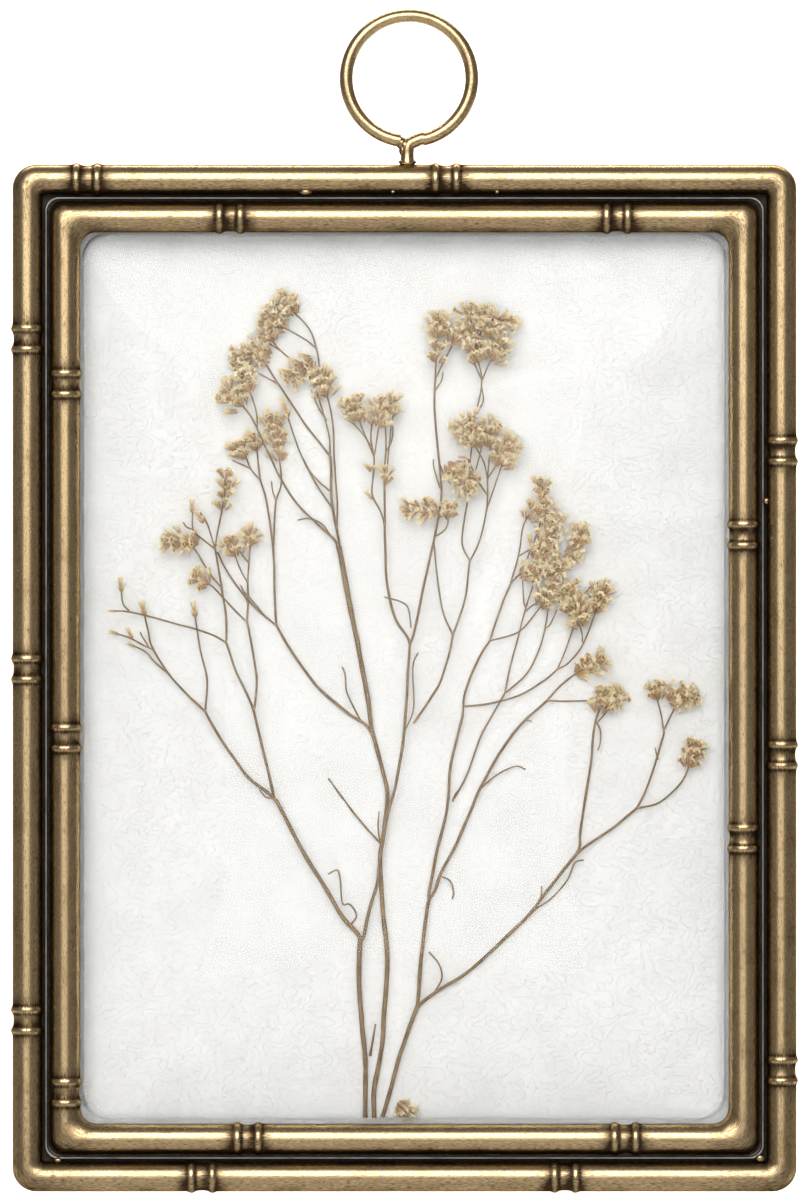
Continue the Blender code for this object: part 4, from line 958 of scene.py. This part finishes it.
# Spacing of the florets in a head, along it and across it, and the length of one floret
TIER_STEP = 2.3 * MM
FLORET_STEP = 0.62 * MM
FLORET_LENGTH = 2.2 * MM
BUD_LENGTH = 2.4 * MM

# A bloom turns the way of a strand that ends nearer than this, in grid steps
NEAR_STRAND = 40

# Dry stems: radius as a share of the width given, unevenness, and sway in millimetres
STEM_RADIUS_SHARE = 0.56
STEM_UNEVENNESS = 0.16
STEM_SWAY = 0.09

# Florets, modelled once: rings as (radius, rise, how pale), in millimetres. A lobed ring is
# drawn in at every second corner. In the open kinds the last two rings turn back into the
# throat, where the low values are painted shade inside the floret's mouth.
OPEN_FLORET = ((0.1, 0.0, -0.1), (0.25, 0.8, 0.0), (0.34, 1.7, 0.12), (0.84, 2.35, 1.0),
               (0.34, 1.95, -0.1), (0.08, 1.7, -0.5))
RAGGED_FLORET = ((0.1, 0.0, -0.1), (0.24, 0.8, 0.0), (0.36, 1.75, 0.12), (0.68, 2.9, 1.0),
                 (0.34, 2.1, -0.1), (0.1, 1.8, -0.5))
CUPPED_FLORET = ((0.09, 0.0, -0.1), (0.26, 0.9, 0.0), (0.33, 1.8, 0.15), (0.46, 2.8, 1.0),
                 (0.28, 2.3, -0.1), (0.08, 2.0, -0.5))
BUD = ((0.1, 0.0, -0.2), (0.36, 0.62, -0.1), (0.34, 1.2, 0.1), (0.2, 1.85, 0.5), (0.05, 2.2, 1.0))


def lathe(name, rings, sides, lobed, notch):
    """Model one floret by extruding a disc ring by ring, and draw its lobed ring in between."""
    deselect_all()
    radius, rise, _ = rings[0]
    bpy.ops.mesh.primitive_circle_add(vertices=sides, radius=radius * MM, fill_type="NGON")
    floret = piece_named(name)
    bpy.ops.object.mode_set(mode="EDIT")
    bpy.ops.mesh.select_all(action="SELECT")
    for (last_radius, last_rise, _), (radius, rise, _) in zip(rings, rings[1:]):
        bpy.ops.mesh.extrude_region_move(
            TRANSFORM_OT_translate={"value": (0.0, 0.0, (rise - last_rise) * MM)})
        share = radius / last_radius
        bpy.ops.transform.resize(value=(share, share, 1.0), center_override=(0.0, 0.0, rise * MM))
    bpy.ops.mesh.merge(type="CENTER")
    bpy.ops.mesh.select_all(action="DESELECT")
    bpy.ops.object.mode_set(mode="OBJECT")
    mesh = floret.data
    for vertex in mesh.vertices:
        vertex.select = vertex.co.z < 1e-6
    bpy.ops.object.mode_set(mode="EDIT")
    bpy.ops.mesh.edge_face_add()
    turn_outwards()
    pale, rib_and_crease_shades = [], []
    for vertex in mesh.vertices:
        nearest = min(rings, key=lambda ring: abs(ring[1] * MM - vertex.co.z)
                      + abs(ring[0] * MM - math.hypot(vertex.co.x, vertex.co.y)))
        pale.append(nearest[2])
        # Every second corner is drawn in as a crease; its stored value brings painted crease shade and the
        # florets' ribbed stripes.
        turn = round(math.atan2(vertex.co.y, vertex.co.x) / (2 * math.pi) * sides)
        rib_and_crease_shades.append(turn % 2)
        if turn % 2 and lobed is not None and nearest[1] > rings[0][1]:
            if nearest is not rings[lobed]:
                vertex.co.x *= 0.82
                vertex.co.y *= 0.82
            else:
                vertex.co.x *= notch
                vertex.co.y *= notch
                vertex.co.z *= 0.94
    mark(floret, "pale", pale)
    mark(floret, "rib_and_crease_shade", rib_and_crease_shades)
    mark(floret, "tone", [0.5] * len(pale))
    return floret


def floret_models():
    """Model each kind of floret once."""
    return {
        "open": lathe("open_floret", OPEN_FLORET, 12, 3, 0.7),
        "ragged": lathe("ragged_floret", RAGGED_FLORET, 12, 3, 0.55),
        "cupped": lathe("cupped_floret", CUPPED_FLORET, 8, 3, 0.74),
        "bud": lathe("bud", BUD, 8, None, 1.0),
    }


def copy_floret(model, base, direction, turn, size, tone, dice):
    """Return a copy of a floret that stands on its base, a little out of true."""
    copy = model.copy()
    copy.data = model.data.copy()
    bpy.context.collection.objects.link(copy)
    for vertex in copy.data.vertices:
        sway = 1.0 + 0.22 * (dice.random() - 0.5)
        vertex.co.x *= sway
        vertex.co.y *= sway
        vertex.co.z *= 1.0 + 0.14 * (dice.random() - 0.5)
    aim = direction.to_track_quat("Z", "Y").to_matrix().to_4x4()
    copy.data.transform(Matrix.Translation(base) @ aim @ Matrix.Rotation(turn, 4, "Z")
                        @ Matrix.Scale(size, 4))
    copy.data.attributes["tone"].data.foreach_set("value", [tone] * len(copy.data.vertices))
    return copy


def bloom_aim(bloom, strands):
    """Return the way that a bloom looks: on from the end of the strand that carries it."""
    middle = Vector(bloom.place)
    best, aim = 1e9, Vector((0.0, 1.0))
    for strand in strands:
        last, before = Vector(strand.route[-1]), Vector(strand.route[-2])
        gap = (last - middle).length
        if gap < best:
            best, aim = gap, last - before
    return Vector((aim.x, 0.0, -aim.y)).normalized() if best < NEAR_STRAND else Vector((0.0, 0.0, 1.0))


def bloom_florets(bloom, aim, models, dice):
    """Return the florets of one ragged head, or its single bud."""
    width, height = (size * GRID for size in bloom.size)
    half = Vector((width / 2, bloom.thickness * MM / 2, height / 2))
    middle = grid_point(*bloom.place, bloom.height)
    forward = Vector((0.0, -1.0, 0.0))
    if max(bloom.size) <= BUD_LIMITS[0] and min(bloom.size) <= BUD_LIMITS[1]:
        florets = []
        length = max(width, height)
        for side in (-0.32, 0.0, 0.32):
            way = (aim + side * aim.cross(forward) + 0.2 * forward).normalized()
            size = length / BUD_LENGTH * (1.0 if side == 0 else 0.74)
            florets.append(copy_floret(models["bud" if side else "ragged"],
                                       middle - aim * length * 0.55, way, dice.random() * 6, size,
                                       0.4 + 0.3 * dice.random(), dice))
        return florets
    across = aim.cross(forward)
    reach = abs(aim.x) * width + abs(aim.z) * height
    spread = abs(aim.z) * width + abs(aim.x) * height
    tiers = max(1, round(reach / TIER_STEP))
    beside = max(3, round(spread / FLORET_STEP))
    florets = []
    for tier in range(tiers):
        along = -0.5 + 0.74 * tier / tiers
        for index in range(beside):
            side = (index + 0.5) / beside * 2 - 1 + 0.3 * (dice.random() - 0.5)
            lean = side * (0.75 + 0.25 * dice.random())
            lift = dice.random() ** 1.6
            way = (aim * (1.0 - 0.3 * abs(side)) + across * lean + forward * lift).normalized()
            size = min(1.1, 0.5 * reach / FLORET_LENGTH + 0.25) * (0.7 + 0.34 * dice.random())
            base = middle + aim * reach * (along + 0.12 * dice.random())
            base += across * side * spread * 0.26 * dice.random()
            base += forward * half.y * (0.7 * dice.random() - 0.35)
            kind = dice.choice(("open", "open", "ragged", "ragged", "cupped"))
            if lift > 0.55:
                kind = "open"
            florets.append(copy_floret(models[kind], base, way, dice.random() * 6.3, size,
                                       dice.random(), dice))
    return florets


def smooth_route(points, steps=5):
    """Return points on a smooth line through a route."""
    if len(points) < 3:
        first, last = points[0], points[-1]
        return [first.lerp(last, index / steps) for index in range(steps + 1)]
    ends = [2 * points[0] - points[1]] + points + [2 * points[-1] - points[-2]]
    line = []
    for before, first, second, after in zip(ends, ends[1:], ends[2:], ends[3:]):
        for step in range(steps):
            share = step / steps
            line.append(0.5 * (2 * first + (second - before) * share
                               + (2 * before - 5 * first + 4 * second - after) * share ** 2
                               + (3 * first - before - 3 * second + after) * share ** 3))
    line.append(points[-1])
    return line


def strand_from(route, width, height, settle=None):
    """Return a strand from its row in the table, whose route is columns and rows by turns."""
    return Strand(tuple(zip(route[::2], route[1::2])), width, height, settle)


def grown_strands(plant):
    """Return a branch's strands. The first is carried back to where the branch springs from."""
    strands = [strand_from(*row) for row in plant.strands]
    if plant.spring:
        column, row, height = plant.spring
        first = strands[0]
        settle = first.settle + 1 if first.settle else None
        strands[0] = Strand(((column, row),) + first.route, first.width,
                            (height, first.height[1]), settle)
    return strands + [strand_from(route, TWIG_WIDTH, height) for route, height in plant.twigs]


def stem_run(strand):
    """Return the points and radii of one strand: a dry stem, a little crooked and uneven."""
    count = len(strand.route)
    settle = strand.settle or count - 1
    points = []
    for index, (column, row) in enumerate(strand.route):
        rise = min(index / settle, 1.0)
        height = strand.height[0] + (strand.height[1] - strand.height[0]) * rise
        points.append(grid_point(column, row, height))
    line = smooth_route(points)
    radii = []
    for index, point in enumerate(line):
        share = index / (len(line) - 1)
        radius = strand.width[0] + (strand.width[1] - strand.width[0]) * share
        radius *= STEM_RADIUS_SHARE * MM * (1.0 + STEM_UNEVENNESS * noise.noise(point * 700))
        radii.append(radius)
        if 0 < index < len(line) - 1:
            sway = Vector((noise.noise(point * 260), 0.0, noise.noise(point * 260 + Vector((9, 9, 9)))))
            point += sway * STEM_SWAY * MM
    return line, radii


def joint_scales(strands, models, dice):
    """Return the small dry scales at the forks of a branch."""
    scales = []
    for strand in strands[1:]:
        first, second = Vector(strand.route[0]), Vector(strand.route[1])
        way = Vector((second.x - first.x, 0.0, first.y - second.y)).normalized()
        way = (way + Vector((0.25, -0.3, 0.0))).normalized()
        place = grid_point(*strand.route[0], strand.height[0] + 0.1)
        scales.append(copy_floret(models["bud"], place, way, dice.random() * 6,
                                  strand.width[0] * (0.55 + 0.25 * dice.random()),
                                  1.1 + 0.3 * dice.random(), dice))
    return scales


def plant_piece(plant, models, seed):
    """Build one branch: its stems and twigs, the scales at its forks and its papery heads."""
    name = f"{plant.node}_dried"
    dice = random.Random(seed)
    strands = grown_strands(plant)
    stems = tubes_from(name, [stem_run(strand) for strand in strands], 8)
    for key, value in (("pale", -1.0), ("tone", 0.5), ("rib_and_crease_shade", 0.0)):
        mark(stems, key, [value] * len(stems.data.vertices))
    parts = [stems] + joint_scales(strands, models, dice)
    for column, row, across, up, height, thickness in plant.blooms:
        bloom = Bloom((column, row), (across, up), height, thickness)
        parts.extend(bloom_florets(bloom, bloom_aim(bloom, strands), models, dice))
    branch = join_pieces(name, parts)
    for layer in list(branch.data.uv_layers):
        branch.data.uv_layers.remove(layer)
    smooth_shade(branch, 75)
    return branch


def dried_plant(name, stem_colour, floret_colour, base_colour):
    """Return the finish of dried stems and papery florets, which read how pale a spot is, with painted
    shade in the florets' throats and creases.
    """
    material, shader = fresh_material(name, 0.82)
    shader.inputs["Specular IOR Level"].default_value = 0.25
    fine = noise_value(shader, "Object", 3000.0)
    broad = noise_value(shader, "Object", 420.0, 3.0)
    pale = stored(shader, "pale")
    middle = tuple((low + 2 * high) / 3 for low, high in zip(base_colour, floret_colour))
    # The darkest stop is painted shade inside the florets' throats.
    floret = ramp(level(pale, -0.5, 1.0),
                  ((0.0, shaded(base_colour, 0.3)), (0.3, base_colour), (0.55, middle),
                   (0.85, floret_colour), (1.0, shaded(floret_colour, 1.12))))
    brown = shaded(floret_colour, 0.66, 0.48, 0.3)
    floret = blend(level(stored(shader, "tone"), 0.5, 1.3, 0.0, 0.5), floret,
                   blend(0.5, floret, brown))
    # Painted crease shade and ribbed stripes: the drawn-in corners turn browner.
    floret = blend(level(stored(shader, "rib_and_crease_shade"), 0.2, 0.9, 0.0, 0.42), floret, brown)
    floret = blend(level(fine, 0.42, 0.72, 0.0, 0.16), floret, brown)
    stem = blend(level(broad, 0.35, 0.68), stem_colour, shaded(stem_colour, 0.62, 0.55, 0.5))
    stem = blend(level(fine, 0.4, 0.7, 0.0, 0.5), stem, shaded(stem_colour, 1.45))
    feed(shader.inputs["Base Color"], blend(level(pale, -0.8, -0.6), stem, floret))
    raise_surface(shader, fine, 0.04 * MM, 0.6)
    return material


def soft_light(name, place, size, power, target=STAGE_MIDDLE, mirrored=True, diffuse=True):
    """Add one rectangular soft light. It may be left out of reflections or of diffuse light."""
    bpy.ops.object.light_add(type="AREA", location=place)
    light = bpy.context.object
    light.name = name
    light.data.shape = "RECTANGLE"
    light.data.size, light.data.size_y = size
    light.data.energy = power
    light.visible_glossy = mirrored
    light.visible_diffuse = diffuse
    light.rotation_euler = (Vector(target) - light.location).to_track_quat("-Z", "Y").to_euler()


class FlowerFrameSizes(bpy.types.PropertyGroup):
    """Sizes that a user would change."""

    rod_radius: FloatProperty(
        name="Rod radius", description="Radius of the bamboo rods between their joints",
        default=3.0 * MM, min=1.0 * MM, max=6.0 * MM, subtype="DISTANCE", unit="LENGTH")
    wire_radius: FloatProperty(
        name="Wire radius", description="Radius of the hanging ring's wire",
        default=1.3 * MM, min=0.5 * MM, max=3.0 * MM, subtype="DISTANCE", unit="LENGTH")
    ring_radius: FloatProperty(
        name="Ring radius", description="Radius of the hanging ring along the middle of its wire",
        default=12.57 * MM, min=5.0 * MM, max=30.0 * MM, subtype="DISTANCE", unit="LENGTH")
    dome_rise: FloatProperty(
        name="Dome rise", description="How far the glass stands forward at its middle",
        default=7.0 * MM, min=0.0, max=15.0 * MM, subtype="DISTANCE", unit="LENGTH")
    glass_thickness: FloatProperty(
        name="Glass thickness", description="Thickness of the domed glass",
        default=2.0 * MM, min=1.0 * MM, max=4.0 * MM, subtype="DISTANCE", unit="LENGTH")
    floret_seed: IntProperty(
        name="Floret seed", description="Seed that sets how the florets stand in their heads",
        default=7, min=0)


class FlowerFrameColours(bpy.types.PropertyGroup):
    """Colours that a user would change."""

    brass: FloatVectorProperty(
        name="Brass", description="Colour of the worn brass",
        default=(0.59, 0.43, 0.235), min=0.0, max=1.0, size=3, subtype="COLOR")
    sheet_brass: FloatVectorProperty(
        name="Sheet brass", description="Colour of the dark sheet brass",
        default=(0.07, 0.055, 0.038), min=0.0, max=1.0, size=3, subtype="COLOR")
    raised_edge: FloatVectorProperty(
        name="Raised edge", description="Colour of the dull grey edge between the rims",
        default=(0.34, 0.33, 0.31), min=0.0, max=1.0, size=3, subtype="COLOR")
    paper: FloatVectorProperty(
        name="Paper", description="Colour of the handmade paper",
        default=(0.92, 0.918, 0.9), min=0.0, max=1.0, size=3, subtype="COLOR")
    board: FloatVectorProperty(
        name="Board", description="Colour of the back board",
        default=(0.3, 0.25, 0.19), min=0.0, max=1.0, size=3, subtype="COLOR")
    stem: FloatVectorProperty(
        name="Stem", description="Colour of the dry stems",
        default=(0.3, 0.215, 0.125), min=0.0, max=1.0, size=3, subtype="COLOR")
    floret: FloatVectorProperty(
        name="Floret", description="Colour of the florets' papery rims",
        default=(1.0, 0.91, 0.64), min=0.0, max=1.0, size=3, subtype="COLOR")
    floret_base: FloatVectorProperty(
        name="Floret base", description="Colour of the florets' brown bases",
        default=(0.42, 0.24, 0.13), min=0.0, max=1.0, size=3, subtype="COLOR")


class FLOWERFRAME_OT_rims(bpy.types.Operator):
    """Build the two brass bamboo rims"""

    bl_idname = "flower_frame.rims"
    bl_label = "Bamboo Rims"

    def execute(self, context):
        sizes, colours = context.scene.flower_sizes, context.scene.flower_colours
        brass = aged_brass("aged_brass_rods", colours.brass, True)
        outer = bamboo_rim("outer_bamboo_rim_brass", sizes.rod_radius, OUTER_ROD_OUT,
                           OUTER_ROD_CORNERS, OUTER_JOINTS, -1)
        drops = [solder_drop(front_spot(column, row, depth), radii)
                 for column, row, depth, radii in SOLDER]
        outer = join_pieces(outer.name, [outer] + drops)
        smooth_shade(outer, 60)
        dress(outer, brass, "aged_brass", "outer_bamboo_rim")
        inner = bamboo_rim("inner_bamboo_rim_brass", sizes.rod_radius, INNER_ROD_OUT,
                           INNER_ROD_CORNERS, INNER_JOINTS, 1)
        dress(inner, brass, "aged_brass", "inner_bamboo_rim")
        return {"FINISHED"}


class FLOWERFRAME_OT_channel(bpy.types.Operator):
    """Build the sheet brass channel with its raised edge and bent tabs"""

    bl_idname = "flower_frame.channel"
    bl_label = "Brass Channel"

    def execute(self, context):
        colours = context.scene.flower_colours
        channel = channel_piece("brass_channel_sheet")
        dress(channel, dark_brass("dark_sheet_brass", colours.sheet_brass, colours.raised_edge),
              "dark_brass", "brass_channel")
        return {"FINISHED"}


class FLOWERFRAME_OT_ring(bpy.types.Operator):
    """Build the hanging ring with its drops of solder"""

    bl_idname = "flower_frame.ring"
    bl_label = "Hanging Ring"

    def execute(self, context):
        sizes, colours = context.scene.flower_sizes, context.scene.flower_colours
        ring = wire_ring("hanging_ring_wire", sizes.wire_radius, sizes.ring_radius)
        dress(ring, aged_brass("aged_brass_wire", colours.brass, False), "aged_brass",
              "hanging_ring")
        return {"FINISHED"}


class FLOWERFRAME_OT_glass(bpy.types.Operator):
    """Build the domed glass"""

    bl_idname = "flower_frame.glass"
    bl_label = "Domed Glass"

    def execute(self, context):
        sizes = context.scene.flower_sizes
        glass = glass_piece("domed_glass_clear", sizes.dome_rise, sizes.glass_thickness)
        dress(glass, clear_glass("clear_dome_glass"), "clear_glass", "domed_glass")
        return {"FINISHED"}


class FLOWERFRAME_OT_sheets(bpy.types.Operator):
    """Build the handmade paper and the back board"""

    bl_idname = "flower_frame.sheets"
    bl_label = "Paper and Board"

    def execute(self, context):
        colours = context.scene.flower_colours
        paper = sheet_piece("handmade_paper_sheet", PAPER_FRONT, 0.35 * MM, 150, 0.05 * MM, 3.0)
        dress(paper, rag_paper("rag_paper", colours.paper), "handmade_paper", "handmade_paper")
        board = sheet_piece("back_board_sheet", BOARD_FRONT, 2.5 * MM, 40, 0.0, 0.0)
        dress(board, grey_board("grey_board", colours.board), "back_board", "back_board")
        return {"FINISHED"}


class FLOWERFRAME_OT_plants(bpy.types.Operator):
    """Build the dried stems with their papery heads"""

    bl_idname = "flower_frame.plants"
    bl_label = "Dried Stems"

    def execute(self, context):
        sizes, colours = context.scene.flower_sizes, context.scene.flower_colours
        finish = dried_plant("dried_stems_and_florets", colours.stem, colours.floret,
                             colours.floret_base)
        models = floret_models()
        for index, plant in enumerate(PLANTS):
            branch = plant_piece(plant, models, sizes.floret_seed + index)
            dress(branch, finish, "dried_plant", plant.node)
        for model in models.values():
            bpy.data.objects.remove(model, do_unlink=True)
        return {"FINISHED"}


class FLOWERFRAME_OT_stage(bpy.types.Operator):
    """Set up the pale floor and backdrop, the soft light and the camera"""

    bl_idname = "flower_frame.stage"
    bl_label = "Stage"

    def execute(self, context):
        deselect_all()
        bpy.ops.mesh.primitive_plane_add(size=12.0, location=(0.0, 0.0, -0.9))
        floor = piece_named("floor")
        bpy.ops.object.transform_apply(location=True, rotation=True, scale=True)
        deselect_all()
        bpy.ops.mesh.primitive_plane_add(size=12.0, location=(0.0, 4.2, 3.0),
                                         rotation=(math.pi / 2, 0.0, 0.0))
        backdrop = piece_named("backdrop")
        bpy.ops.object.transform_apply(location=True, rotation=True, scale=True)
        pale, shader = fresh_material("pale_stage", 0.95)
        shader.inputs["Base Color"].default_value = (0.88, 0.88, 0.87, 1.0)
        for item in (floor, backdrop):
            item.data.materials.append(pale)
        world = bpy.data.worlds.new("soft_studio")
        world.use_nodes = True
        world.node_tree.nodes["Background"].inputs["Color"].default_value = (1.0, 0.99, 0.975, 1.0)
        world.node_tree.nodes["Background"].inputs["Strength"].default_value = 0.2
        context.scene.world = world
        soft_light("paper_light", (-0.05, -2.2, -0.12), (0.8, 0.8), 16.0, mirrored=False)
        soft_light("plant_light", (-0.5, -1.7, 0.9), (1.0, 0.8), 3.6, mirrored=False)
        soft_light("brass_softbox", (-0.2, -1.9, 0.86), (2.2, 1.4), 44.0, diffuse=False)
        soft_light("front_panel", (-0.3, -2.4, -0.1), (1.9, 1.0), 5.0, diffuse=False)
        soft_light("back_light", (0.7, 2.2, 1.0), (1.4, 1.0), 18.0)
        soft_light("backdrop_light", (0.0, 1.2, 2.2), (3.0, 1.0), 260.0, (0.0, 4.2, -0.1))
        context.scene.view_settings.view_transform = "Standard"
        bpy.ops.object.camera_add(location=(-0.001, -1.5, -0.1156),
                                  rotation=(math.pi / 2, 0.0, 0.0))
        camera = context.object
        camera.name = "photo_camera"
        camera.data.sensor_width = 36.0
        camera.data.lens = 225.0
        camera.data.clip_start = 0.05
        camera.data.clip_end = 50.0
        context.scene.camera = camera
        return {"FINISHED"}


class FLOWERFRAME_PT_panel(bpy.types.Panel):
    """Panel that lists the pieces of the frame"""

    bl_idname = "FLOWERFRAME_PT_panel"
    bl_label = "Pressed Flower Frame"
    bl_space_type = "VIEW_3D"
    bl_region_type = "UI"
    bl_category = "Flower Frame"

    def draw(self, context):
        for group in (context.scene.flower_sizes, context.scene.flower_colours):
            for name in group.__annotations__:
                self.layout.prop(group, name)
        for operator in OPERATORS:
            self.layout.operator(operator.bl_idname)


OPERATORS = (
    FLOWERFRAME_OT_rims,
    FLOWERFRAME_OT_channel,
    FLOWERFRAME_OT_ring,
    FLOWERFRAME_OT_glass,
    FLOWERFRAME_OT_sheets,
    FLOWERFRAME_OT_plants,
    FLOWERFRAME_OT_stage,
)
CLASSES = (FlowerFrameSizes, FlowerFrameColours) + OPERATORS + (FLOWERFRAME_PT_panel,)


def register():
    """Register the classes and their settings."""
    for item in CLASSES:
        bpy.utils.register_class(item)
    bpy.types.Scene.flower_sizes = PointerProperty(type=FlowerFrameSizes)
    bpy.types.Scene.flower_colours = PointerProperty(type=FlowerFrameColours)


def unregister():
    """Remove the settings and the classes."""
    del bpy.types.Scene.flower_sizes
    del bpy.types.Scene.flower_colours
    for item in reversed(CLASSES):
        bpy.utils.unregister_class(item)


def main():
    """Build every piece and the stage."""
    register()
    bpy.ops.flower_frame.rims()
    bpy.ops.flower_frame.channel()
    bpy.ops.flower_frame.ring()
    bpy.ops.flower_frame.glass()
    bpy.ops.flower_frame.sheets()
    bpy.ops.flower_frame.plants()
    bpy.ops.flower_frame.stage()


if __name__ == "__main__":
    main()
